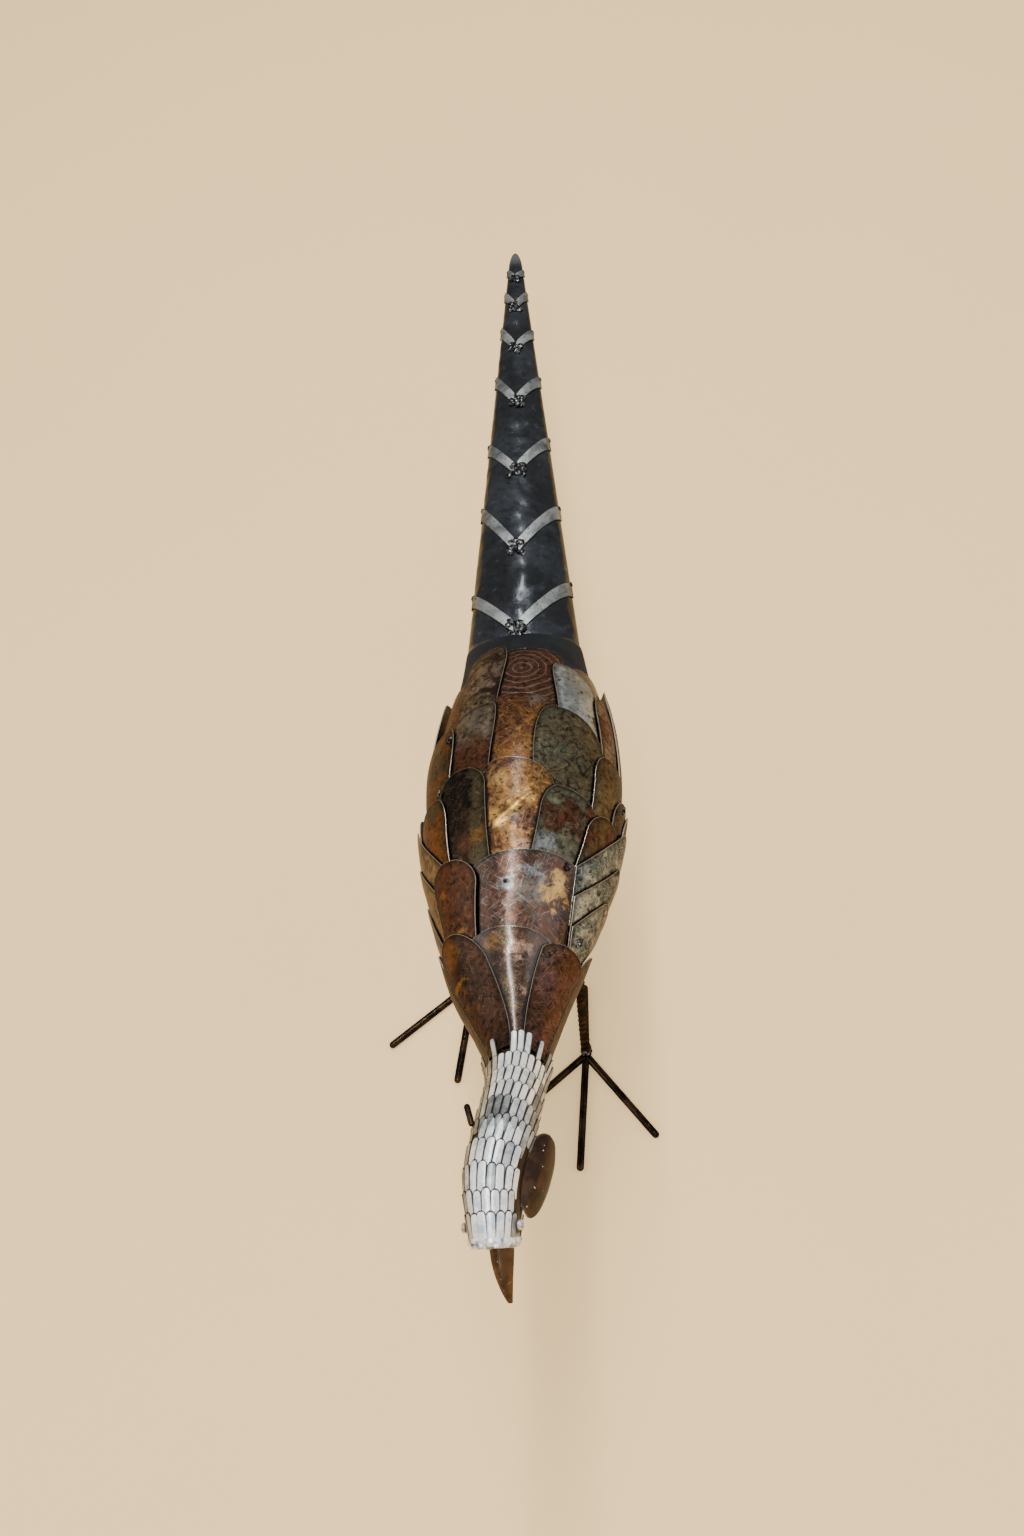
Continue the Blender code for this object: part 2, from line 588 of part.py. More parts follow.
def make_neck(group):
    shape = bmesh.new()
    rings = feather_rows(shape, NECK_ROWS, NECK_FRONT, neck_lifts)
    over_plates = PLATES["nape_middle"][3] + 0.0026
    for along, lift in ((NECK_FRONT, NECK_INNER - 0.0006), (over_plates + 0.003, NECK_INNER),
                        (over_plates, level_lift(NECK_LEVEL, over_plates) + 0.0001)):
        rings.append(feather_ring(shape, along, lift, 0, 0.0))
    rings.append(feather_ring(shape, NECK_ROWS[0], level_lift(NECK_LEVEL, NECK_ROWS[0]), 0))
    close_faces(shape, rings, loop=True)
    bmesh.ops.recalc_face_normals(shape, faces=shape.faces)
    add_object("neck_feathers", shape, group, (0.62, 0.62, 0.60), 0.3)


def head_lifts(number, start, end):
    return HEAD_LIFT, HEAD_LIFT - ROW_STEP


def head_front():
    """Middle of the flat front of the head and the head's own axes."""
    centre, side, top, forward, _, _, _ = station(HEAD_FRONT)
    return centre + forward * 0.006, side, top, forward


def front_ring(shape, share, forward_run, lift):
    """A ring at the front of the head, drawn in towards its axis."""
    centre, _, _, forward, _, _, _ = station(HEAD_FRONT)
    count = FEATHERS_AROUND * 2
    ring = []
    for i in range(count):
        point = skin(HEAD_FRONT, 360 * i / count, lift)
        point = centre + (point - centre) * share
        ring.append(shape.verts.new(point + forward * forward_run))
    return ring


def make_head(group):
    shape = bmesh.new()
    rings = feather_rows(shape, HEAD_ROWS, HEAD_FRONT, head_lifts)
    rings.append(front_ring(shape, 0.95, 0.0035, HEAD_LIFT - ROW_STEP))
    rings.append(front_ring(shape, 0.80, 0.0060, HEAD_LIFT - ROW_STEP))
    inner_lift = HEAD_LIFT - ROW_STEP - HEAD_WALL
    inner = [feather_ring(shape, HEAD_ROWS[0], inner_lift + 0.0014, 0)]
    inner.append(feather_ring(shape, NECK_FRONT + 0.006, inner_lift + 0.0004, 0, 0.0))
    inner.append(feather_ring(shape, HEAD_FRONT - 0.002, inner_lift - 0.0003, 0, 0.0))
    close_faces(shape, rings, loop=False)
    close_faces(shape, inner, loop=False)
    close_faces(shape, [rings[0], inner[0]], loop=False)
    shape.faces.new(rings[-1])
    shape.faces.new(inner[-1])
    bmesh.ops.recalc_face_normals(shape, faces=shape.faces)
    add_object("head_feathers", shape, group, (0.66, 0.66, 0.65), 0.3)


def make_beak(group):
    middle, side, top, forward = head_front()
    root = middle + forward * TOUCH + side * BEAK_SIDE - top * BEAK_DROP
    shape = bmesh.new()
    rings = []
    for ahead, below, half_width, half_height in BEAK_RINGS:
        ring = []
        for i in range(BEAK_SIDES):
            turn = 2 * math.pi * i / BEAK_SIDES
            crest = 1.15 if i == 0 else 1.0
            offset = side * half_width * math.sin(turn) + top * half_height * crest * math.cos(turn)
            ring.append(shape.verts.new(root + forward * ahead - top * below + offset))
        rings.append(ring)
    close_faces(shape, rings, loop=False)
    shape.faces.new(rings[0])
    shape.faces.new(rings[-1])
    bmesh.ops.recalc_face_normals(shape, faces=shape.faces)
    add_object("beak", shape, group, (0.16, 0.09, 0.06), 0.4)


def make_cheek(name, hand, group):
    """A dished oval plate that hangs from the side of the head, its rear end turned outwards."""
    along = HEAD_FRONT - CHEEK["behind_front"]
    _, side, top, forward, _, _, _ = station(along)
    yaw = math.radians(CHEEK["yaw"])
    ahead = forward * math.cos(yaw) - side * hand * math.sin(yaw)
    out = side * hand * math.cos(yaw) + forward * math.sin(yaw)
    seat = skin(along, hand * CHEEK["angle"], HEAD_LIFT + CHEEK["stand_off"])
    middle = seat - top * CHEEK["depth"] / 2
    shape = bmesh.new()
    bmesh.ops.create_grid(shape, x_segments=6, y_segments=3, size=0.5)
    for vert in shape.verts:
        x, y = vert.co.x * 2, vert.co.y * 2
        round_x = x * math.sqrt(1 - y * y / 2)
        round_y = y * math.sqrt(1 - x * x / 2)
        hollow = CHEEK["dish"] * (1 - round_x ** 2 - round_y ** 2)
        vert.co = (middle + ahead * round_x * CHEEK["length"] / 2 - top * round_y * CHEEK["depth"] / 2
                   + out * hollow)
    bmesh.ops.recalc_face_normals(shape, faces=shape.faces)
    face_out(shape, out)
    thicken(add_object(name, shape, group, (0.14, 0.07, 0.045), 0.4), SHEET)


def make_eye(name, hand, group):
    """A short round slug with a softened face."""
    along = HEAD_FRONT - EYE["behind_front"]
    seat = skin(along, hand * EYE["angle"], HEAD_LIFT + 2 * TOUCH)
    facing = skin_normal(along, hand * EYE["angle"])
    shape = bmesh.new()
    turn = facing.to_track_quat("Z", "Y").to_matrix().to_4x4()
    place = Matrix.Translation(seat + facing * EYE["height"] / 2) @ turn
    bmesh.ops.create_cone(shape, cap_ends=True, segments=12, radius1=EYE["radius"],
                          radius2=EYE["radius"] * 0.8, depth=EYE["height"], matrix=place)
    add_object(name, shape, group, (0.5, 0.48, 0.45), 0.3)


def make_tuft(group):
    """A short bar behind the head, leaning back and out."""
    along, angle = HEAD_FRONT - TUFT["behind_front"], TUFT["angle"]
    facing = skin_normal(along, angle)
    backward = -station(along)[3]
    lean = math.radians(TUFT["lean"])
    axis = facing * math.sin(lean) + backward * math.cos(lean)
    start = skin(along, angle, HEAD_LIFT + TOUCH + TUFT_BAR / 2 * math.cos(lean))
    shape = bmesh.new()
    bar(shape, start, start + axis * TUFT["length"], TUFT_BAR, 8)
    add_object("ear_tuft", shape, group, (0.05, 0.04, 0.035), 0.4)


def stand_on_origin(group):
    """Moves every piece so that the middle of the whole box stands over the origin."""
    low = Vector((1e9, 1e9, 1e9))
    high = -low
    bpy.context.view_layer.update()
    graph = bpy.context.evaluated_depsgraph_get()
    for item in group.objects:
        for corner in item.evaluated_get(graph).data.vertices:
            low = Vector(map(min, low, corner.co))
            high = Vector(map(max, high, corner.co))
    shift = Matrix.Translation((-(low.x + high.x) / 2, -(low.y + high.y) / 2, -low.z))
    for item in group.objects:
        item.data.transform(shift)


def main():
    clear_scene()
    bird = collection("sheet_metal_pheasant")
    cutters = collection("cutters")
    make_plates(bird)
    make_tail(bird)
    make_bands(bird)
    make_foot("right_foot", RIGHT_FOOT, RIGHT_HIP, bird, cutters)
    make_foot("left_foot", LEFT_FOOT, LEFT_HIP, bird, cutters)
    make_leg("right_leg", RIGHT_FOOT, RIGHT_HIP, bird)
    make_leg("left_leg", LEFT_FOOT, LEFT_HIP, bird)
    make_neck(bird)
    make_head(bird)
    make_beak(bird)
    make_cheek("cheek_right", 1, bird)
    make_cheek("cheek_left", -1, bird)
    make_eye("eye_right", 1, bird)
    make_eye("eye_left", -1, bird)
    make_tuft(bird)
    stand_on_origin(bird)


main()
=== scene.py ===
# %% [markdown]
# # A pheasant of patinated sheet metal
# The real bird is made of thin steel plates, cut like large scales, browned with heat and acid, and
# welded over one another from the tail to the neck. The solids of the frame hold every piece at its
# real place and size. This lesson dresses them: each piece is made again with a fine mesh on the same
# curved skin, so that its outline is smooth, its edge is a real cut edge, and its patina can be drawn.

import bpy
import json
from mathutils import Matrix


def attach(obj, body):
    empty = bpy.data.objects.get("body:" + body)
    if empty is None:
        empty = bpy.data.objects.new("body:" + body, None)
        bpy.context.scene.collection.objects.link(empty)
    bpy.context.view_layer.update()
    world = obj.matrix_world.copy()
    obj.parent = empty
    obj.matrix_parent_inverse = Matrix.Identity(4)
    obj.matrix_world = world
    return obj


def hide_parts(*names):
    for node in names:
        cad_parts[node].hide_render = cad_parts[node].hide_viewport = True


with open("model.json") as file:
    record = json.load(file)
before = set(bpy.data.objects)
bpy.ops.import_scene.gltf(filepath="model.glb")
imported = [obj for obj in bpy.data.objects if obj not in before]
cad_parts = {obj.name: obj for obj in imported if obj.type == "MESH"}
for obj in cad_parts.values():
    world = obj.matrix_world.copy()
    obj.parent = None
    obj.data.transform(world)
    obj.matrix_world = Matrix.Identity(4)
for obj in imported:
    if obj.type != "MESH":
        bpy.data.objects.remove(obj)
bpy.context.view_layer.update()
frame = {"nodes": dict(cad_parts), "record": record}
print("the frame holds", len(frame["nodes"]), "pieces")

# %% Modules and the random source
import bisect
import json
import math
import random

import bmesh
import bpy
import numpy as np
from mathutils import Matrix, Vector, kdtree, noise

chance = random.Random(7)
MM = 0.001

# %% [markdown]
# ## The skin that the plates lie on
# A welder lays the plates on a body that was first bent roughly to shape. Here that body is a row of
# egg shaped sections along a spine. Every plate lies on it at a whole number of levels, a level being
# the thickness of a sheet and a little air, so no two plates can cut into one another.

# %% Stations of the skin
# across, along, up, half width, rise above the spine, drop below it, tilt in degrees
STATIONS = [
    (0.0018, 0.158, 0.262, 0.0390, 0.0150, 0.0200, 0),
    (0.0038, 0.115, 0.271, 0.0470, 0.0325, 0.0370, 0),
    (0.0048, 0.058, 0.280, 0.0610, 0.0500, 0.0510, 0),
    (0.0033, 0.000, 0.285, 0.0682, 0.0620, 0.0610, 0),
    (0.0001, -0.058, 0.287, 0.0640, 0.0630, 0.0630, 0),
    (-0.0030, -0.110, 0.289, 0.0502, 0.0550, 0.0570, 0),
    (-0.0039, -0.156, 0.294, 0.0375, 0.0400, 0.0440, 0),
    (-0.0012, -0.195, 0.303, 0.0245, 0.0270, 0.0300, 0),
    (0.0010, -0.225, 0.315, 0.0165, 0.0190, 0.0215, 0),
    (0.0013, -0.252, 0.332, 0.0135, 0.0150, 0.0175, 0),
    (-0.0001, -0.276, 0.350, 0.0130, 0.0135, 0.0155, -4),
    (-0.0031, -0.299, 0.364, 0.0137, 0.0125, 0.0155, -10),
    (-0.0084, -0.328, 0.371, 0.0128, 0.0135, 0.0175, -14),
    (-0.0082, -0.357, 0.369, 0.0104, 0.0132, 0.0180, -15),
    (-0.0082, -0.381, 0.361, 0.0080, 0.0100, 0.0140, -15),
]
SPAN_STEPS = 16           # fine steps between two stations
SHEET = 1.0 * MM
LAP_AIR = 0.9 * MM
LEVEL = SHEET + LAP_AIR
LEVEL_RUN = 0.030         # a plate climbs one level for each such run towards the tail
LEVEL_ZERO = 0.170


def catmull(rows, i, t):
    """A row between rows i and i + 1 on a smooth curve through their neighbours."""
    out = []
    for a, b, c, d in zip(*rows[i - 1:i + 3]):
        square = 2 * a - 5 * b + 4 * c - d
        cube = 3 * b - a - 3 * c + d
        out.append(0.5 * (2 * b + (c - a) * t + square * t ** 2 + cube * t ** 3))
    return out


def extended(rows):
    """The rows with one more at each end, straight on, so that a curve can start and stop there."""
    first = [2 * a - b for a, b in zip(rows[0], rows[1])]
    last = [2 * a - b for a, b in zip(rows[-1], rows[-2])]
    return [first, *rows, last]


def fine_spine():
    """The stations filled in finely, each with its distance along the spine in front."""
    known = extended(STATIONS)
    rows = [catmull(known, i, step / SPAN_STEPS)
            for i in range(1, len(known) - 2) for step in range(SPAN_STEPS)]
    rows.append(list(STATIONS[-1]))
    run = 0.0
    out = [[run, *rows[0]]]
    for old, new in zip(rows, rows[1:]):
        run += (Vector(new[:3]) - Vector(old[:3])).length
        out.append([run, *new])
    return out


SPINE = fine_spine()
RUNS = [row[0] for row in SPINE]
print("spine length", round(RUNS[-1], 4))


# %% Points on the skin
def station(along):
    """Centre, side, top, forward, half width, rise and drop at a distance along the spine."""
    along = min(max(along, RUNS[0]), RUNS[-1])
    i = min(max(bisect.bisect_left(RUNS, along) - 1, 0), len(SPINE) - 2)
    low, high = SPINE[i], SPINE[i + 1]
    t = (along - low[0]) / (high[0] - low[0])
    row = [a + (b - a) * t for a, b in zip(low, high)]
    behind, ahead = SPINE[max(i - 1, 0)], SPINE[min(i + 2, len(SPINE) - 1)]
    forward = (Vector(ahead[1:4]) - Vector(behind[1:4])).normalized()
    across = Vector((1, 0, 0))
    across = (across - forward * across.dot(forward)).normalized()
    up = across.cross(forward)
    if up.z < 0:
        up = -up
    tilt = math.radians(row[7])
    side = across * math.cos(tilt) - up * math.sin(tilt)
    top = up * math.cos(tilt) + across * math.sin(tilt)
    return Vector(row[1:4]), side, top, forward, row[4], row[5], row[6]


def skin(along, angle, lift=0.0):
    """A point on the skin, raised by lift; the angle runs from the ridge, + towards +X."""
    centre, side, top, _, half_width, rise, drop = station(along)
    turn = math.radians(angle)
    height = rise if math.cos(turn) > 0 else drop
    normal = (side * math.sin(turn) * height + top * math.cos(turn) * half_width).normalized()
    return centre + side * half_width * math.sin(turn) + top * height * math.cos(turn) + normal * lift


def skin_normal(along, angle):
    return (skin(along, angle, MM) - skin(along, angle)).normalized()


def level_lift(level, along):
    return LEVEL * (level + (LEVEL_ZERO - along) / LEVEL_RUN)


def step_around(along, angle, distance, lift):
    """The angle reached by walking a distance round the lifted skin."""
    _, _, _, _, half_width, rise, drop = station(along)
    steps = 6
    for _ in range(steps):
        turn = math.radians(angle)
        height = rise if math.cos(turn) > 0 else drop
        rate = math.hypot(half_width * math.cos(turn), height * math.sin(turn)) + lift
        angle += math.degrees(distance / steps / rate)
    return angle


print("widest at", [round(c, 3) for c in skin(0.16, 90)])

# %% [markdown]
# ## Where the bird stands
# The frame has its origin on the ground under the middle of the whole box. The stations above are
# measured from the middle of the body, so the far end of the tail trough tells how far everything
# has to be moved.

# %% The move from the body's own zero to the frame
TAIL_FREE = 0.474          # length of the tail behind the body
TAIL_SIDE_DRIFT = -0.0058  # how far its tip lies towards -X
TAIL_END_GAP = 0.0002
SMALL = 1e-5

trough = [vert.co for vert in frame["nodes"]["tail_trough"].data.vertices]
trough_end = max(point.y for point in trough)
end_points = [point for point in trough if point.y > trough_end - SMALL]
end_share = 1 - TAIL_END_GAP / TAIL_FREE
SET_OFF = Vector((
    sum(point.x for point in end_points) / len(end_points) - STATIONS[0][0] - TAIL_SIDE_DRIFT * end_share,
    trough_end - STATIONS[0][1] - TAIL_FREE + TAIL_END_GAP,
    0.0,
))
print("moved by", [round(c, 5) for c in SET_OFF])

# %% [markdown]
# ## Sheets, walls and edges
# Every piece here starts as a flat grid whose points are laid on the bird. Then the sheet gets its
# wall by an extrusion along its normals, and its cut edges are broken with a fine bevel, which is
# what a file does to a real plate. A number at each point says how far it is from the edge, so that
# the finish can be worn bright there.


# %% Helpers for sheets
def numbered_shape(*numbers):
    """An empty bmesh whose points carry the named numbers."""
    shape = bmesh.new()
    for number in numbers:
        shape.verts.layers.float.new(number)
    return shape


def lay_grid(shape, columns, rows, place):
    """Adds a grid and puts each point where place(across, along), both from 0 to 1, says."""
    made = bmesh.ops.create_grid(shape, x_segments=columns, y_segments=rows, size=0.5)["verts"]
    for vert in made:
        vert.co = place(vert.co.x + 0.5, vert.co.y + 0.5)
    return made


def roll_grid(shape, columns, rows, place):
    """Like lay_grid, for a tube: the first and last columns meet, and poles close."""
    made = lay_grid(shape, columns, rows, place)
    bmesh.ops.remove_doubles(shape, verts=made, dist=SMALL)


def close_holes(shape):
    rim = [edge for edge in shape.edges if edge.is_boundary]
    bmesh.ops.holes_fill(shape, edges=rim, sides=0)
    bmesh.ops.recalc_face_normals(shape, faces=shape.faces)


def face_out(shape, outward):
    """Turns an open sheet's faces to the side that outward points to."""
    bmesh.ops.recalc_face_normals(shape, faces=shape.faces)
    total = Vector()
    for face in shape.faces:
        total += face.normal * face.calc_area()
    if total.dot(outward) < 0:
        bmesh.ops.reverse_faces(shape, faces=shape.faces)


def wall(shape, thickness):
    """Gives an open sheet its wall on the side that its faces point to."""
    shape.normal_update()
    outward = shape.verts.layers.float_vector.new("outward")
    for vert in shape.verts:
        vert[outward] = vert.normal
    grown = bmesh.ops.extrude_face_region(shape, geom=shape.faces[:])
    for item in grown["geom"]:
        if isinstance(item, bmesh.types.BMVert):
            item.co += item[outward] * thickness
    shape.verts.layers.float_vector.remove(outward)
    bmesh.ops.recalc_face_normals(shape, faces=shape.faces)


def break_edges(shape, offset, sharpest=1.0):
    """Bevels every edge whose faces turn by more than sharpest, in radians."""
    rim = [edge for edge in shape.edges if edge.calc_face_angle(0) > sharpest]
    bmesh.ops.bevel(shape, geom=rim, offset=offset, segments=1, profile=0.5, affect="EDGES",
                    material=-1)


print("an edge is broken by a bevel of one segment")

# %% From a bmesh to a piece
CRISP = 0.6                # radians, above which an edge stays sharp


def linked(name, data):
    """A new object in the scene, at the origin."""
    item = bpy.data.objects.new(name, data)
    bpy.context.scene.collection.objects.link(item)
    return item


def new_piece(name, shape, finish, slot, *nodes):
    """Makes an object, sets it in the frame, and hides the nodes that it stands for."""
    for vert in shape.verts:
        vert.co += SET_OFF
    for face in shape.faces:
        face.smooth = True
    for edge in shape.edges:
        edge.smooth = edge.calc_face_angle(0) < CRISP
    mesh = bpy.data.meshes.new(name)
    shape.to_mesh(mesh)
    shape.free()
    piece = linked(name, mesh)
    mesh.materials.append(finish)
    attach(piece, "root")
    if nodes:
        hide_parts(*nodes)
    return piece


def smooth(value, low, high):
    """0 below low, 1 above high, and a soft step between."""
    t = min(max((value - low) / (high - low), 0.0), 1.0)
    return t * t * (3 - 2 * t)


# %% [markdown]
# ## Finishes as formulas
# Patina is layers: a base tone, a second tone in clouds, spots, scratches and a bright rim. In node
# form that is a long chain of Math and Mix nodes, which is hard to read. So a small class stands for
# a socket and lets the chain be written as a formula. Each sum or product adds its own node.


# %% Sockets that can be added and multiplied
class Wire:
    """A node's output; a formula of wires adds the Math nodes that it needs."""

    def __init__(self, finish, socket):
        self.finish = finish
        self.socket = socket

    def __add__(self, other):
        return self.finish.math("ADD", self, other)

    def __sub__(self, other):
        return self.finish.math("SUBTRACT", self, other)

    def __rsub__(self, other):
        return self.finish.math("SUBTRACT", other, self)

    def __mul__(self, other):
        return self.finish.math("MULTIPLY", self, other)

    __radd__ = __add__
    __rmul__ = __mul__


GLANCE_TINT = (0.22, 0.18, 0.15, 1.0)  # what is left of the sheen where metal is seen edge on


class Finish:
    """A material, and the nodes that lead to its shader."""

    def __init__(self, name, metallic=1.0, roughness=0.35):
        self.material = bpy.data.materials.new(name)
        self.material.use_nodes = True
        self.tree = self.material.node_tree
        self.shader = self.tree.nodes["Principled BSDF"]
        self.set("Metallic", metallic)
        self.set("Roughness", roughness)
        self.set("Specular IOR Level", 0.3)
        self.set("Specular Tint", GLANCE_TINT)

    def lacquer(self, weight, roughness):
        """A clear coat, which draws narrow white streaks of the lamps."""
        self.set("Coat Weight", weight)
        self.set("Coat Roughness", roughness)

    def node(self, kind, settings=None, inputs=None, output=0):
        """Adds a node: its settings first, then the values or wires of its sockets."""
        made = self.tree.nodes.new(kind)
        for key, value in (settings or {}).items():
            setattr(made, key, value)
        for key, value in (inputs or {}).items():
            self.feed(made.inputs[key], value)
        return Wire(self, made.outputs[output])

    def feed(self, socket, value):
        if isinstance(value, Wire):
            self.tree.links.new(value.socket, socket)
        else:
            socket.default_value = value

    def set(self, socket, value):
        self.feed(self.shader.inputs[socket], value)

    def math(self, operation, a, b):
        return self.node("ShaderNodeMath", {"operation": operation}, {0: a, 1: b})

    def mix(self, factor, a, b, blend="MIX"):
        """Colour a where the factor is 0 and colour b where it is 1."""
        settings = {"data_type": "RGBA", "blend_type": blend}
        return self.node("ShaderNodeMix", settings, {0: factor, 6: a, 7: b}, 2)

    def step(self, value, low, high):
        """A soft step from 0 at low to 1 at high; low may be the larger."""
        return self.node("ShaderNodeMapRange", {"interpolation_type": "SMOOTHSTEP"},
                         {"Value": value, "From Min": low, "From Max": high})

    def place(self, offset=0.0, turn=0.0, scale=(1, 1, 1)):
        """Object coordinates, moved, turned about Z and stretched."""
        raw = self.node("ShaderNodeTexCoord", output=3)
        return self.node("ShaderNodeMapping", None, {
            "Vector": raw, "Location": (offset, offset, 0), "Rotation": (0, 0, turn), "Scale": scale})

    def flat(self, turn=0.0, scale=(1, 1, 1), offset=0.0):
        """The piece's own flat coordinates, in decimetres, turned and stretched."""
        raw = self.node("ShaderNodeUVMap", {"uv_map": "flat"})
        return self.node("ShaderNodeMapping", {"vector_type": "TEXTURE"}, {
            "Vector": raw, "Location": (offset, offset, 0), "Rotation": (0, 0, turn),
            "Scale": tuple(1 / share for share in scale)})

    def cloud(self, where, scale, detail=4.0, rough=0.55, warp=0.0):
        return self.node("ShaderNodeTexNoise", None, {
            "Vector": where, "Scale": scale, "Detail": detail, "Roughness": rough, "Distortion": warp})

    def attribute(self, name):
        return self.node("ShaderNodeAttribute", {"attribute_name": name}, output=2)

    def surface(self, colour, roughness, height, depth, strength):
        """Wires the colour, the roughness and the relief, and gives the finished material."""
        self.set("Base Color", colour)
        self.set("Roughness", roughness)
        self.set("Normal", self.node("ShaderNodeBump", None, {
            "Height": height, "Distance": depth, "Strength": strength}))
        return self.material


print("finishes are formulas of wires")


# %% Tones
def tone(red, green, blue):
    """A colour given as it looks on screen, 0 to 255, made linear."""
    linear = [c / 12.92 if c <= 0.04045 else ((c + 0.055) / 1.055) ** 2.4
              for c in (red / 255, green / 255, blue / 255)]
    return (*linear, 1.0)


BLACK = tone(10, 9, 8)
SOOT = tone(26, 21, 19)
UMBER = tone(52, 37, 29)
BISTRE = tone(70, 48, 35)
CLAY = tone(80, 50, 33)
COPPER = tone(88, 59, 44)
PLUM = tone(82, 58, 52)
ROSE = tone(152, 120, 102)
RUST = tone(82, 51, 33)
ORANGE = tone(98, 64, 32)
HONEY = tone(98, 68, 34)
GOLD = tone(114, 83, 43)
BRASS = tone(156, 124, 72)
YELLOW = tone(196, 154, 84)
OLIVE = tone(72, 64, 45)
KHAKI = tone(88, 81, 62)
SAND = tone(122, 110, 88)
MOSS = tone(80, 79, 64)
VERDIGRIS = tone(86, 91, 74)
TAUPE = tone(110, 99, 86)
GREY = tone(112, 104, 95)
STEEL = tone(124, 131, 133)
PEARL = tone(158, 164, 165)
SLATE = tone(76, 89, 94)
SILVER = tone(222, 222, 224)
VIOLET = tone(60, 48, 62)
INK = tone(20, 24, 32)
RIM_TONE = tone(168, 158, 142)
print("tones are written as they look on screen")

# %% [markdown]
# ## The patina
# One function draws every plate's finish. Clouds of a second tone lie on the main tone, a patch tone
# covers what a third cloud leaves, and one more tone may come in towards the root or a side. Local
# spots are placed in millimetres on the plate. Scratches are long thin clouds at three angles, and
# the scribed curls are the contour lines of a soft cloud. Last come a darker band along the plate's
# own edge, a painted shadow beside the edge of every plate that lies over it, and the rim, where the
# sheet is worn bright.

# %% Parts of the patina
RIM_WIDTH = 0.45           # how wide the bright rim is, in millimetres
# Light specks are partly a lighter mottled patina and partly painted glints of the hammered sheet.
SPECK_LIGHT_AND_GLINT = (2.5, 2.25, 1.95, 1.0)   # what a tone is multiplied with where specks are light
SPECK_SHADE = (0.26, 0.22, 0.19, 1.0)  # and where they are dark
STROKE_TURNS = (0.25, 1.0, 2.2)


def strokes_of(finish, offset, low, high):
    """Thin scratches at a few angles."""
    total = None
    for turn in STROKE_TURNS:
        where = finish.flat(turn, (150, 7, 1), offset + turn)
        line = finish.step(finish.cloud(where, 1.0, 3, 0.6, 0.4), low, high)
        total = line if total is None else finish.math("MAXIMUM", total, line)
    return total


CURL_TURNS = 7             # contour lines between the lowest and the highest cloud


def curls_of(finish, offset, scale, turns):
    """Contour lines of a soft cloud, which look like scribed curls."""
    height = finish.cloud(finish.place(offset), scale, 1.0, 0.4, 0.6) * turns
    wave = finish.math("PINGPONG", height, 0.5)
    return finish.step(wave, 0.075, 0.02)


def distance_from(finish, across, from_tip):
    """Distance from a place on the plate, in decimetres; the place is given in millimetres."""
    return finish.node("ShaderNodeVectorMath", {"operation": "DISTANCE"},
                       {0: finish.flat(), 1: (across / 100, from_tip / 100, 0)}, 1)


def spot_of(finish, across, from_tip, radius, tear, speck):
    """A spot with a torn outline; its place and radius in millimetres."""
    far = distance_from(finish, across, from_tip)
    ragged = (tear - 0.5) * (radius / 26) + (speck - 0.5) * (radius / 34)
    return finish.step(far + ragged, radius / 86, radius / 220)


def arcs_of(finish, across, from_tip, spacing, uneven):
    """Arcs round a place, a spacing apart, as a dragged scriber leaves them."""
    far = distance_from(finish, across, from_tip) + (uneven - 0.5) * 0.10
    wave = finish.math("PINGPONG", far * (100 / spacing), 0.5)
    return finish.step(wave, 0.14, 0.05)


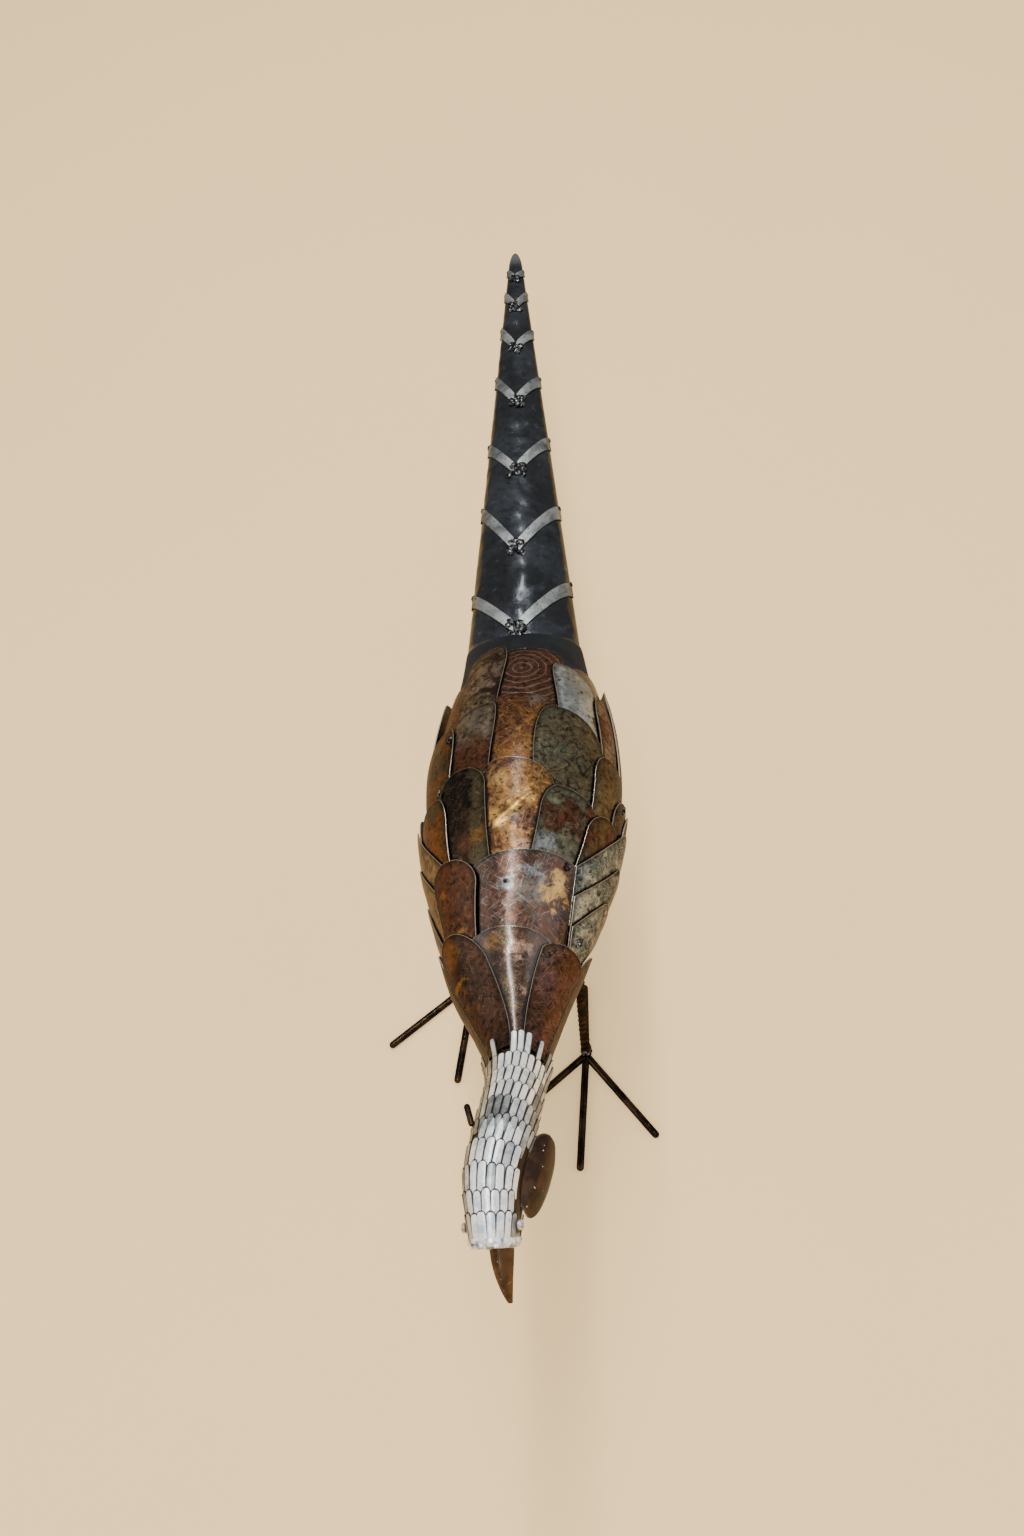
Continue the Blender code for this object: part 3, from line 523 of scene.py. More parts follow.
def patina(name, main, second, patch=None, patch_from=0.56, fade=None, side=None, spots=(), curls=0.0,
           curl_scale=55, curl_tone=None, arcs=None, strokes=0.35, pale=0.3, rough=0.34, mottle=0.45,
           metallic=0.82, coat=0.12, coat_rough=0.22):
    """The finish of one plate; tones as linear colours, spots as (tone, across, from tip, radius)."""
    finish = Finish(name, metallic)
    offset = chance.uniform(0, 40)
    broad = finish.cloud(finish.place(offset), 34, 5, 0.62, 0.9)
    tear = finish.cloud(finish.place(offset + 3), 110, 4, 0.6, 0.4)
    speck = finish.cloud(finish.place(offset), 260, 7, 0.58, 0.3)
    grain = finish.cloud(finish.place(offset), 1100, 2)
    colour = finish.mix(finish.step(broad + (tear - 0.5) * 0.35, 0.43, 0.57), main, second)
    if patch:
        spread = finish.cloud(finish.place(offset + 5), 46, 6, 0.68, 0.5)
        colour = finish.mix(finish.step(spread, patch_from, patch_from + 0.05), colour, patch)
    uneven = (broad - 0.5) * 0.22 + (tear - 0.5) * 0.12
    for axis, blend in ((1, fade), (0, side)):
        if blend:
            blend_tone, start, end = blend
            place = finish.node("ShaderNodeSeparateXYZ", None, {0: finish.flat()}, axis)
            colour = finish.mix(finish.step(place + uneven, start / 100, end / 100), colour, blend_tone)
    for spot_tone, across, from_tip, radius in spots:
        spot = spot_of(finish, across, from_tip, radius, tear, speck)
        colour = finish.mix(spot * 0.9, colour, spot_tone)
    # light specks: lighter patina together with painted glints
    light = finish.step(speck, 0.53, 0.66) * mottle
    colour = finish.mix(light, colour, SPECK_LIGHT_AND_GLINT, "MULTIPLY")
    shade = finish.step(speck, 0.48, 0.37) * min(mottle + 0.35, 1.0)
    colour = finish.mix(shade, colour, SPECK_SHADE, "MULTIPLY")
    pit = finish.step(finish.cloud(finish.place(offset + 7), 150, 1), 0.725, 0.765)
    colour = finish.mix(pit * 0.8, colour, SOOT)
    scratch = strokes_of(finish, offset, 0.60, 0.67) * strokes
    colour = finish.mix(scratch, colour, ROSE if pale < 0.5 else SILVER)
    height = speck * 0.5 + grain * 0.10 + scratch * 0.3
    if curls:
        lines = curls_of(finish, offset + 9, curl_scale, CURL_TURNS)
        colour = finish.mix(lines * curls, colour, curl_tone or SOOT)
        height = height - lines * (0.5 * curls)
    if arcs:
        lines = arcs_of(finish, *arcs, broad)
        colour = finish.mix(lines * 0.55, colour, ROSE)
        height = height - lines * 0.4
    edge = finish.attribute("to_edge")
    # a darker band within five millimetres of the plate's own edge
    edge_darkening = finish.step(edge, 5.0, 0.6) * 0.55
    # painted shadow: a dark line beside the outline of every plate that lies over this one, where its
    # shadow falls
    painted_gap_shadow = finish.step(finish.attribute("to_cover") + (speck - 0.5) * 2.0, 3.0, 1.0)
    colour = finish.mix(finish.math("MAXIMUM", edge_darkening, painted_gap_shadow * 0.95), colour, BLACK)
    worn = finish.step(edge + (grain - 0.5) * 0.5, RIM_WIDTH, RIM_WIDTH * 0.4) * 0.85
    colour = finish.mix(worn, colour, RIM_TONE)
    finish.lacquer(coat, coat_rough)
    roughness = speck * 0.30 + (rough - 0.15) + scratch * 0.12
    return finish.surface(colour, roughness, height, 0.4 * MM, 0.6)


print("one function draws every patina")

# %% [markdown]
# ## The body plates
# Each plate is a scale: narrow at the root, widest near the tip, with a round tip that points to the
# tail. The table gives its level on the body, where its tip and its root lie, and how it is rounded.
# The numbers are the sizes of the real plates as the photo shows them.

# %% Table of the plates
# name: (level, tip along, tip angle, root along, root angle, width, root share, rounding, lean)
PLATES = {
    "nape_left": (11, 0.300, -52, 0.406, -31, 0.046, 0.40, 0.62, -0.2),
    "nape_middle": (10, 0.305, 3, 0.408, 0, 0.070, 0.20, 0.27, 0),
    "nape_right": (11, 0.311, 61, 0.406, 42, 0.048, 0.40, 0.25, 0.3),
    "mantle_left": (9, 0.247, -38, 0.311, -45, 0.045, 0.70, 0.42, 0),
    "mantle_middle": (7, 0.243, 15, 0.335, 21, 0.092, 0.90, 0.20, 0),
    "back_far_left": (6, 0.189, -55, 0.268, -59, 0.038, 0.90, 0.60, 0.4),
    "back_left": (5, 0.172, -31, 0.262, -30, 0.041, 0.95, 0.42, 0.1),
    "back_middle": (4, 0.167, 1, 0.262, 0, 0.064, 0.85, 0.45, -0.1),
    "back_right": (5, 0.188, 37, 0.262, 33, 0.047, 0.85, 0.40, -0.5),
    "back_far_right": (6, 0.198, 64, 0.262, 61, 0.038, 0.90, 0.50, 0),
    "back_side_right": (5, 0.170, 86, 0.245, 88, 0.042, 0.90, 0.50, 0),
    "rump_side_left": (2, 0.155, -78, 0.235, -82, 0.042, 0.90, 0.50, 0),
    "rump_far_left": (4, 0.124, -54, 0.205, -56, 0.038, 0.90, 0.90, 0.6),
    "rump_left": (3, 0.108, -29, 0.195, -32, 0.043, 0.95, 0.75, 0.75),
    "rump_middle": (2, 0.101, 2, 0.190, 0, 0.062, 0.80, 0.30, 0),
    "rump_right": (3, 0.114, 33, 0.205, 37, 0.062, 0.90, 0.80, -0.45),
    "rump_far_right": (4, 0.147, 66, 0.215, 66, 0.040, 0.90, 0.50, -0.3),
    "covert_far_left": (0, 0.060, -58, 0.160, -62, 0.042, 0.95, 0.80, 0.6),
    "covert_left": (1, 0.030, -29, 0.150, -31, 0.036, 1.00, 0.75, 0.6),
    "covert_middle": (0, 0.036, 6, 0.150, 4, 0.060, 1.00, 0.25, 0.1),
    "covert_right": (1, 0.058, 43, 0.165, 44, 0.038, 1.00, 0.80, -0.7),
    "covert_under_right": (0, 0.053, 61, 0.140, 62, 0.040, 1.00, 0.50, 0),
    "covert_far_right": (2, 0.083, 76, 0.162, 76, 0.040, 0.95, 0.60, -0.5),
    "breast_left": (10, 0.283, -118, 0.405, -105, 0.072, 0.40, 0.50, 0),
    "breast_right": (10, 0.285, 122, 0.405, 108, 0.068, 0.40, 0.50, 0),
    "breast_middle": (11, 0.283, 180, 0.403, 180, 0.064, 0.26, 0.50, 0),
    "belly_left": (6, 0.163, -122, 0.300, -119, 0.092, 0.85, 0.36, 0),
    "belly_right": (6, 0.163, 122, 0.300, 119, 0.092, 0.85, 0.36, 0),
    "belly_middle": (7, 0.163, 180, 0.300, 180, 0.086, 0.85, 0.40, 0),
    "vent_left": (3, 0.048, -118, 0.185, -118, 0.086, 1.00, 0.45, 0),
    "vent_right": (3, 0.048, 118, 0.185, 118, 0.086, 1.00, 0.45, 0),
    "vent_middle": (4, 0.030, 180, 0.185, 180, 0.076, 0.95, 0.50, 0),
    "wing_right_1": (7, 0.199, 100, 0.281, 40, 0.036, 0.95, 0.30, 0),
    "wing_right_2": (8, 0.229, 100, 0.302, 46, 0.034, 0.95, 0.30, 0),
    "wing_right_3": (9, 0.256, 100, 0.321, 56, 0.034, 0.95, 0.30, 0),
    "wing_left_1": (7, 0.196, -100, 0.278, -44, 0.036, 0.95, 0.30, 0),
    "wing_left_2": (8, 0.228, -100, 0.299, -52, 0.034, 0.95, 0.30, 0),
    "wing_left_3": (9, 0.254, -102, 0.306, -80, 0.028, 0.95, 0.30, 0),
}
SEAM_REAR = (0.245, 45)    # the right wing butts against the middle mantle plate on this line
SEAM_FRONT = (0.310, 61)
SEAM_AIR = 0.8 * MM
print(len(PLATES), "plates on the body")

# %% [markdown]
# ## Shaping a plate
# A flat outline comes first: straight sides that widen to the tip, then a rounded end. The grid is
# fitted to it, each point is walked out over the skin, and small hammer dents and a slight crown are
# added, because a plate cut by hand and beaten to shape is never quite smooth.

# %% Outline and hammering
TIP_FULLNESS = 2.2
TIP_LAST_TURN = 86         # degrees at which the round of the tip ends in a short straight
TIP_STEP = 6
GROUND_LIFT = 5 * MM       # the skin on which distances between plates are measured
FAR_OFF = 99.0
ROW_LENGTH = 1.7 * MM
COLUMN_WIDTH = 1.6 * MM
CROWN = 0.55 * MM
DENT = 0.25 * MM
DENT_SIZE = 12 * MM


def outline_rows(length, width, root_share, rounding, lean):
    """From root to tip: share of the length, half width and sideways shift."""
    flat_end = 1 - rounding * width / length
    steps = math.ceil(length * flat_end / ROW_LENGTH)
    rows = []
    for step in range(steps):
        swell = root_share + (1 - root_share) * step / steps
        rows.append((flat_end * step / steps, width / 2 * swell, 0.0))
    for turn in range(0, TIP_LAST_TURN + 1, TIP_STEP):
        reach = math.sin(math.radians(turn))
        half = width / 2 * (1 - reach ** TIP_FULLNESS) ** (1 / TIP_FULLNESS)
        rows.append((flat_end + (1 - flat_end) * reach, half, lean * (width / 2 - half)))
    return rows


def distance_to(outline, points):
    """How far each flat point is from a polyline, all in metres."""
    a = np.array(outline[:-1])
    run = np.array(outline[1:]) - a
    offset = np.array(points)[:, None] - a[None]
    share = np.clip((offset * run).sum(2) / (run * run).sum(1), 0, 1)
    return np.linalg.norm(offset - share[..., None] * run, axis=2).min(1)


# A fold left standing in a plate: its ends across and from the tip, its height and its half width,
# all in millimetres.
CREASES = {"back_middle": ((-12, 54), (14, 30), 1.3, 4.5)}


def crease_lift(name, reach, from_tip):
    """How far a fold raises a point of the plate."""
    if name not in CREASES:
        return 0.0
    start, end, height, width = CREASES[name]
    point = Vector((reach / MM, from_tip / MM))
    run = Vector(end) - Vector(start)
    share = min(max((point - Vector(start)).dot(run) / run.length_squared, 0.0), 1.0)
    far = (point - Vector(start) - run * share).length
    return height * MM * smooth(far, width, 0.4)


def hammered(x, y, seed):
    return noise.noise(Vector((x / DENT_SIZE, y / DENT_SIZE, seed)))


print("a row every", ROW_LENGTH / MM, "mm")


# %% A plate
def plate_sheet(name, seed, level, tip_along, tip_angle, root_along, root_angle, width, root_share,
                rounding, lean):
    """An open sheet laid on the skin, with its flat coordinates and its distance to the edge."""
    _, _, _, _, half_width, rise, _ = station((tip_along + root_along) / 2)
    run_around = math.radians(tip_angle - root_angle) * (half_width + rise) / 2
    run_along = tip_along - root_along
    length = math.hypot(run_around, run_along)
    rows = outline_rows(length, width, root_share, rounding, lean)
    left = [(shift - half, length * (1 - share)) for share, half, shift in rows]
    right = [(shift + half, length * (1 - share)) for share, half, shift in rows]
    columns = math.ceil(width / COLUMN_WIDTH)
    shape = bmesh.new()
    to_edge = shape.verts.layers.float.new("to_edge")
    ground = shape.verts.layers.float_vector.new("ground")
    flat = shape.loops.layers.uv.new("flat")
    grid = bmesh.ops.create_grid(shape, x_segments=columns, y_segments=len(rows) - 1, size=0.5)["verts"]
    places = []
    for vert in grid:
        share, half, shift = rows[round((vert.co.y + 0.5) * (len(rows) - 1))]
        places.append((half * 2 * vert.co.x + shift, length * (1 - share)))
    edges = distance_to(left + right[::-1], places)
    spots = {}
    for vert, (reach, from_tip), edge in zip(grid, places, edges):
        share = 1 - from_tip / length
        angle = root_angle + (tip_angle - root_angle) * share
        along = root_along + run_along * share + reach * run_around / length
        crown = CROWN * smooth(edge, 0, width * 0.35) * smooth(share, 0.2, 0.6)
        dent = DENT * hammered(reach, from_tip, seed) * smooth(edge, 0, 8 * MM)
        lift = level_lift(level, along)
        turned = step_around(along, angle, -reach * run_along / length, max(lift, 0.0))
        vert.co = skin(along, turned, lift + crown + dent + crease_lift(name, reach, from_tip))
        vert[ground] = skin(along, turned, GROUND_LIFT)
        vert[to_edge] = edge / MM
        spots[vert] = (reach * 10, from_tip * 10)
    for face in shape.faces:
        for loop in face.loops:
            loop[flat].uv = spots[loop.vert]
    face_out(shape, skin_normal((tip_along + root_along) / 2, (tip_angle + root_angle) / 2))
    return shape


def trim(shape, point, normal):
    """Cuts away what lies on the side that the normal points to, and marks the cut as an edge."""
    to_edge = shape.verts.layers.float["to_edge"]
    bmesh.ops.bisect_plane(shape, geom=[*shape.verts, *shape.edges, *shape.faces], plane_co=point,
                           plane_no=normal, dist=1e-6, clear_outer=True)
    for vert in shape.verts:
        vert[to_edge] = min(vert[to_edge], (point - vert.co).dot(normal) / MM)


def seam_plane():
    """A point on the wing seam, and the seam's normal, which points to the wing."""
    rear, front = skin(*SEAM_REAR, 6 * MM), skin(*SEAM_FRONT, 6 * MM)
    middle = [(a + b) / 2 for a, b in zip(SEAM_REAR, SEAM_FRONT)]
    normal = (front - rear).cross(skin_normal(*middle)).normalized()
    return rear, normal if normal.x > 0 else -normal


def mark_shade(shape, cover):
    """Stores how far each point is from the outline of a plate that lies over it, in mm, for the painted
    shadow beside that outline.
    """
    ground = shape.verts.layers.float_vector["ground"]
    shade = shape.verts.layers.float.new("to_cover")
    for vert in shape.verts:
        vert[shade] = cover.find(vert[ground])[2] / MM if cover else FAR_OFF
    shape.verts.layers.float_vector.remove(ground)


def outline_points(shape):
    """The points of a sheet's rim, pressed down to one common skin."""
    ground = shape.verts.layers.float_vector["ground"]
    return [vert[ground].copy() for vert in shape.verts if vert.is_boundary]


def tree_of(points):
    """A search tree over points, or nothing where there are none."""
    if not points:
        return None
    tree = kdtree.KDTree(len(points))
    for number, point in enumerate(points):
        tree.insert(point, number)
    tree.balance()
    return tree


print("the wing seam runs from", [round(c, 3) for c in seam_plane()[0]])

# %% [markdown]
# ## A tone for every plate
# No two plates look alike, because each was cut from other scrap and heated on its own. The table
# below gives each plate its tones and marks: a spot is its tone, how far it lies across
# and from the tip, and its radius, in millimetres. Plates that are not named are on the hidden
# underside and take turns with three dull browns.

# %% Table of the plates' looks
LOOKS = {
    "nape_left": dict(main=UMBER, second=BISTRE, patch=GOLD, patch_from=0.58, fade=(UMBER, 84, 104),
                      spots=[(HONEY, -6, 8, 13)], strokes=0.3, rough=0.33, mottle=0.4),
    "nape_middle": dict(main=UMBER, second=OLIVE, patch=BISTRE, side=(BISTRE, 1, 8), strokes=0.45,
                        spots=[(ROSE, 9, 20, 9), (GOLD, -12, 12, 7), (UMBER, 17, 30, 10), (ROSE, 9, 50, 4),
                               (SOOT, 13, 66, 8)],
                        fade=(BISTRE, 62, 92), rough=0.26, mottle=0.45, coat=1.0, coat_rough=0.16),
    "nape_right": dict(main=BISTRE, second=PLUM, patch=COPPER, patch_from=0.58, strokes=0.55,
                       fade=(UMBER, 86, 100), rough=0.34),
    "mantle_left": dict(main=CLAY, second=BISTRE, patch=GOLD, patch_from=0.56, strokes=0.25, mottle=0.5),
    "mantle_middle": dict(main=CLAY, second=BISTRE, patch=UMBER, strokes=0.22, curls=0.15, pale=0.6,
                          rough=0.28, mottle=0.4, metallic=0.9, coat=0.6, coat_rough=0.24,
                          # the grey spot and the steel spot in the middle are a painted highlight, the
                          # lamp's glare on the plate; the steel ring with ink is a burnt hole
                          spots=[(COPPER, 2, 34, 30), (GREY, 0, 30, 15), (STEEL, 1, 18, 8),
                                 (VIOLET, 33, 42, 13), (YELLOW, 17, 32, 9),
                                 (YELLOW, 23, 20, 8), (YELLOW, 18, 44, 4), (YELLOW, 28, 34, 5),
                                 (VIOLET, 24, 50, 8), (RUST, -30, 40, 17), (ORANGE, 28, 66, 15),
                                 (STEEL, -15, 26, 6), (INK, -15, 26, 3)]),
    "back_far_left": dict(main=ORANGE, second=HONEY, patch=OLIVE, strokes=0.15, mottle=0.35),
    "back_left": dict(main=SOOT, second=UMBER, patch=OLIVE, side=(OLIVE, 4, 10), strokes=0.25,
                      spots=[(SOOT, 3, 10, 6), (SOOT, -10, 20, 14), (RUST, 4, 62, 10), (GOLD, 14, 58, 8)],
                      rough=0.26, mottle=0.3),
    "back_middle": dict(main=HONEY, second=GOLD, patch=BISTRE, patch_from=0.57, curls=0.25,
                        # the three yellow spots along the fold, from (-10, 52) to (13, 31), are a painted
                        # highlight on its crest
                        spots=[(BISTRE, -20, 10, 6), (BRASS, -12, 18, 8), (YELLOW, -10, 52, 8),
                               (YELLOW, 2, 41, 6), (YELLOW, 13, 31, 7), (VIOLET, 24, 38, 7),
                               (CLAY, -14, 66, 10), (ROSE, 10, 72, 9), (BISTRE, 12, 52, 12)],
                        curl_scale=80, strokes=0.5, mottle=0.9, rough=0.36, coat=0.3),
    "back_right": dict(main=MOSS, second=BISTRE, patch=VERDIGRIS, patch_from=0.57, mottle=0.55,
                       spots=[(CLAY, -2, 26, 9), (RUST, 18, 12, 6), (STEEL, -15, 48, 9)], strokes=0.3),
    "back_far_right": dict(main=BISTRE, second=OLIVE, patch=RUST, strokes=0.3),
    "back_side_right": dict(main=SOOT, second=UMBER, patch=OLIVE),
    "rump_side_left": dict(main=SOOT, second=UMBER, patch=BISTRE),
    "rump_far_left": dict(main=HONEY, second=OLIVE, patch=ORANGE, strokes=0.15, mottle=0.35),
    "rump_left": dict(main=TAUPE, second=KHAKI, fade=(RUST, 26, 46), strokes=0.25, mottle=0.5,
                      spots=[(SOOT, -18, 32, 7), (GREY, -2, 12, 10)]),
    "rump_middle": dict(main=CLAY, second=HONEY, patch=BISTRE, patch_from=0.57, curls=0.5, curl_scale=85,
                        curl_tone=BRASS, spots=[(GREY, 12, 6, 8), (HONEY, 8, 52, 12)], strokes=0.4,
                        mottle=0.75, rough=0.40),
    "rump_right": dict(main=KHAKI, second=MOSS, patch=OLIVE, curls=0.8, curl_scale=34, strokes=0.15,
                       side=(MOSS, 10, 24), spots=[(CLAY, 24, 58, 9), (VERDIGRIS, -8, 44, 8)], mottle=0.5),
    "rump_far_right": dict(main=OLIVE, second=KHAKI, patch=BISTRE, strokes=0.2),
    "covert_far_left": dict(main=HONEY, second=RUST, patch=OLIVE, strokes=0.2),
    "covert_left": dict(main=TAUPE, second=UMBER, patch=KHAKI, patch_from=0.52, strokes=0.2, mottle=0.65,
                        spots=[(GREY, 8, 34, 7)]),
    "covert_middle": dict(main=PLUM, second=BISTRE, patch=COPPER, patch_from=0.6, arcs=(-4, 30, 6.5),
                          strokes=0.25, spots=[(RUST, 20, 34, 8), (UMBER, -20, 6, 9)], mottle=0.5),
    "covert_right": dict(main=PEARL, second=STEEL, patch=PEARL, strokes=0.1, pale=0.8, mottle=0.12,
                         spots=[(SOOT, 3, 30, 1.3), (SOOT, -6, 19, 1.1), (BISTRE, 18, 56, 8)]),
    "covert_under_right": dict(main=OLIVE, second=UMBER, patch=SOOT, metallic=0.5),
    "covert_far_right": dict(main=COPPER, second=GREY, patch=BISTRE, strokes=0.2),
    "wing_left_3": dict(main=OLIVE, second=SAND, strokes=0.1, mottle=0.2),
}
for rank in (1, 2, 3):
    LOOKS[f"wing_right_{rank}"] = dict(main=SLATE, second=STEEL, patch=PEARL, patch_from=0.64, strokes=0.5,
                                       pale=0.8, mottle=0.6, spots=[(TAUPE, 0, 6, 12)])
for rank in (1, 2):
    LOOKS[f"wing_left_{rank}"] = dict(main=SAND, second=KHAKI, strokes=0.1, mottle=0.2)
MATT = dict(metallic=0.3, coat=0.0, rough=0.55)
UNDER_LOOKS = [
    dict(main=UMBER, second=BISTRE, patch=SOOT, strokes=0.25, **MATT),
    dict(main=UMBER, second=OLIVE, patch=SOOT, strokes=0.2, **MATT),
    dict(main=BISTRE, second=UMBER, patch=RUST, strokes=0.2, **MATT),
]
SLOTS = {entry["node"]: entry["material_slot"] for entry in frame["record"]["subparts"]}
print(len(LOOKS), "plates have looks of their own")

# %% Make the plates
EDGE_BREAK = 0.22 * MM


def cut_plates():
    """All open sheets, trimmed along the wing seam."""
    seam_point, seam_normal = seam_plane()
    sheets = {}
    for count, (name, values) in enumerate(PLATES.items()):
        shape = plate_sheet(name, count * 3.7, *values)
        if name == "mantle_middle":
            trim(shape, seam_point - seam_normal * SEAM_AIR / 2, seam_normal)
        if name.startswith("wing_right"):
            trim(shape, seam_point + seam_normal * SEAM_AIR / 2, -seam_normal)
        sheets[name] = shape
    return sheets


def make_plates():
    sheets = cut_plates()
    rims = {name: outline_points(shape) for name, shape in sheets.items()}
    for count, (name, shape) in enumerate(sheets.items()):
        level = PLATES[name][0]
        mark_shade(shape, tree_of([p for other in sheets if PLATES[other][0] > level for p in rims[other]]))
        wall(shape, SHEET)
        break_edges(shape, EDGE_BREAK)
        look = LOOKS.get(name) or UNDER_LOOKS[count % len(UNDER_LOOKS)]
        finish = patina(f"{name}_patina", **look)
        new_piece(f"{name}_plate", shape, finish, SLOTS[name], name)


make_plates()

# %% [markdown]
# ## The tail
# The tail is one long trough, folded from a tapering blank of blued steel and hammered, so it shines
# unevenly along its ridge. It starts under the body plates and ends in a rounded silvery tip.

# %% The tail's curve
TAIL_TUCK = 0.095
TAIL_LEVEL = -1.5
TAIL_HALF_WIDTH = 0.0460
TAIL_END_HALF_WIDTH = 0.0040
TAIL_ARCH = 0.48
TAIL_CLIMB = 0.0100
TAIL_RIDGE_SHIFT = -0.0040
TIP_LENGTH = 0.016


def tail_half_width(behind):
    straight = TAIL_HALF_WIDTH + (TAIL_END_HALF_WIDTH - TAIL_HALF_WIDTH) * behind / TAIL_FREE
    left = max(TAIL_FREE - behind, 0.0)
    if left < TIP_LENGTH:
        straight *= math.sqrt(1 - (1 - left / TIP_LENGTH) ** 2)
    return straight


def tail_point(behind, angle, lift=0.0):
    """A point on the trough's underside; a negative distance lies inside the body."""
    across, up = Vector((1, 0, 0)), Vector((0, 0, 1))
    turn = math.radians(angle)
    if behind < 0:
        shift = TAIL_RIDGE_SHIFT * (1 + behind / TAIL_TUCK)
        return (skin(-behind, angle, level_lift(TAIL_LEVEL, -behind) + lift)
                + across * shift * math.cos(turn))
    share = behind / TAIL_FREE
    half_width = tail_half_width(behind)
    height = half_width * TAIL_ARCH
    normal = (across * math.sin(turn) * height + up * math.cos(turn) * half_width).normalized()
    middle = station(0)[0] + Vector((TAIL_SIDE_DRIFT * share, behind, TAIL_CLIMB * share))
    sideways = half_width * math.sin(turn) + TAIL_RIDGE_SHIFT * (1 - share) * math.cos(turn)
    return middle + across * sideways + up * height * math.cos(turn) + normal * lift


print("the tail ends at", [round(c, 3) for c in tail_point(TAIL_FREE - TAIL_END_GAP, 0) + SET_OFF])

# %% Make the tail trough
TAIL_ROWS = 250
TAIL_COLUMNS = 40
TAIL_DENT = 0.55 * MM
SILVER_TIP = (0.022, 0.006)    # distances from the tip between which the steel turns silver
# Under the body plates the trough is also darkened in colour: painted shade.
DULL_SHADED_ROOT = (-0.004, 0.008)    # distances under the body plates between which it turns dull


def blued_steel():
    """Dark blue black steel with clouds of blue and brown, a silver end, and painted shade where it runs
    under the body plates.
    """
    finish = Finish("blued_steel")
    broad = finish.cloud(finish.place(3), 26, 5, 0.6, 0.6)
    speck = finish.cloud(finish.place(11), 150, 6, 0.65)
    grain = finish.cloud(finish.place(17), 900, 2)
    colour = finish.mix(finish.step(broad, 0.42, 0.62), tone(36, 40, 45), tone(58, 63, 70))
    warm = finish.step(finish.cloud(finish.place(23), 16, 4, 0.6), 0.58, 0.68) * 0.5
    colour = finish.mix(warm, colour, tone(58, 50, 46))
    colour = finish.mix(finish.step(speck, 0.50, 0.32) * 0.6, colour, tone(14, 16, 20))
    shine = finish.step(speck, 0.58, 0.72) * 0.30
    colour = finish.mix(shine, colour, STEEL)
    silver = finish.attribute("silver")
    colour = finish.mix(silver, colour, STEEL)
    worn = finish.step(finish.attribute("to_edge") + (grain - 0.5) * 0.7, RIM_WIDTH, 0.3)
    colour = finish.mix(worn * 0.8, colour, STEEL)
    # painted shade: the root under the body plates is darkened, besides being made dull
    root = finish.attribute("root")
    colour = finish.mix(root * 0.8, colour, tone(24, 28, 33))
    finish.set("Metallic", 0.85 - root * 0.7)
    finish.lacquer((1 - root) * 0.5, 0.14)
    roughness = speck * 0.24 + root * 0.6 + 0.10
    return finish.surface(colour, roughness, speck * 0.6 + grain * 0.08, 0.4 * MM, 0.5)


def make_tail():
    shape = bmesh.new()
    to_edge = shape.verts.layers.float.new("to_edge")
    silver = shape.verts.layers.float.new("silver")
    root = shape.verts.layers.float.new("root")
    length = TAIL_TUCK + TAIL_FREE - TAIL_END_GAP
    grid = bmesh.ops.create_grid(shape, x_segments=TAIL_COLUMNS, y_segments=TAIL_ROWS, size=0.5)["verts"]
    for vert in grid:
        share = vert.co.y + 0.5
        behind = -TAIL_TUCK + length * math.sin(share * math.pi / 2)
        angle = 180 * vert.co.x
        half = tail_half_width(max(behind, 0.0))
        edge = min((90 - abs(angle)) / 90 * half * 1.25, TAIL_FREE - behind)
        dent = TAIL_DENT * hammered(half * math.radians(angle), behind, 51) * smooth(edge, 0, 6 * MM)
        vert.co = tail_point(behind, angle, dent)
        vert[to_edge] = edge / MM
        vert[silver] = smooth(TAIL_FREE - behind, *SILVER_TIP)
        vert[root] = smooth(-behind, *DULL_SHADED_ROOT)
    face_out(shape, Vector((0, 0, 1)))
    wall(shape, SHEET)
    break_edges(shape, EDGE_BREAK)
    return new_piece("tail_sheet", shape, blued_steel(), "blued_tail", "tail_trough")


print(make_tail().name, "made")

# %% [markdown]
# ## Bands and welds of the tail
# Seven light strips cross the tail in a V. Each arm is a strip of its own, bent over the trough's
# edge at its outer end, and the two arms meet on the ridge in a lump of weld. A weld is a row of
# frozen drops, so it is made of small balls, pushed out of shape by a noise and sunk into each other.

# %% Welds
BLOB_DETAIL = 2


def drop_of_weld(shape, centre, normal, radius, seed, height=0.7):
    """Adds one lumpy drop, squashed along the normal."""
    made = bmesh.ops.create_icosphere(shape, subdivisions=BLOB_DETAIL, radius=radius)["verts"]
    turn = normal.to_track_quat("Z", "Y").to_matrix()
    for vert in made:
        lump = 1 + 0.28 * noise.noise(vert.co / radius * 1.3 + Vector((seed, seed, 0)))
        vert.co = centre + turn @ Vector((vert.co.x * lump, vert.co.y * lump, vert.co.z * lump * height))


def weld_metal():
    """Black glass like slag with brighter crests."""
    finish = Finish("weld_metal", 0.9)
    speck = finish.cloud(finish.place(2), 420, 5, 0.6)
    colour = finish.mix(finish.step(speck, 0.45, 0.70), tone(34, 34, 36), tone(150, 153, 156))
    return finish.surface(colour, speck * 0.2 + 0.14, speck, 0.3 * MM, 0.6)


WELD = weld_metal()
print("a weld is a row of lumpy drops")

# %% Make the bands
# distance of the vertex behind the body, width, sweep of the left arm, sweep of the right arm
BANDS = [
    (0.003, 0.0115, 1.05, 1.22),
    (0.090, 0.0110, 1.50, 1.40),
    (0.180, 0.0108, 1.30, 1.42),
    (0.265, 0.0100, 1.60, 1.46),
    (0.334, 0.0092, 1.80, 1.50),
    (0.391, 0.0082, 1.70, 1.60),
    (0.432, 0.0074, 1.30, 1.20),
]
BAND_SHEET = 0.8 * MM
BAND_GAP = 0.3 * MM
ARM_START = 3              # degrees from the ridge where an arm starts, under the weld
ARM_END = 88


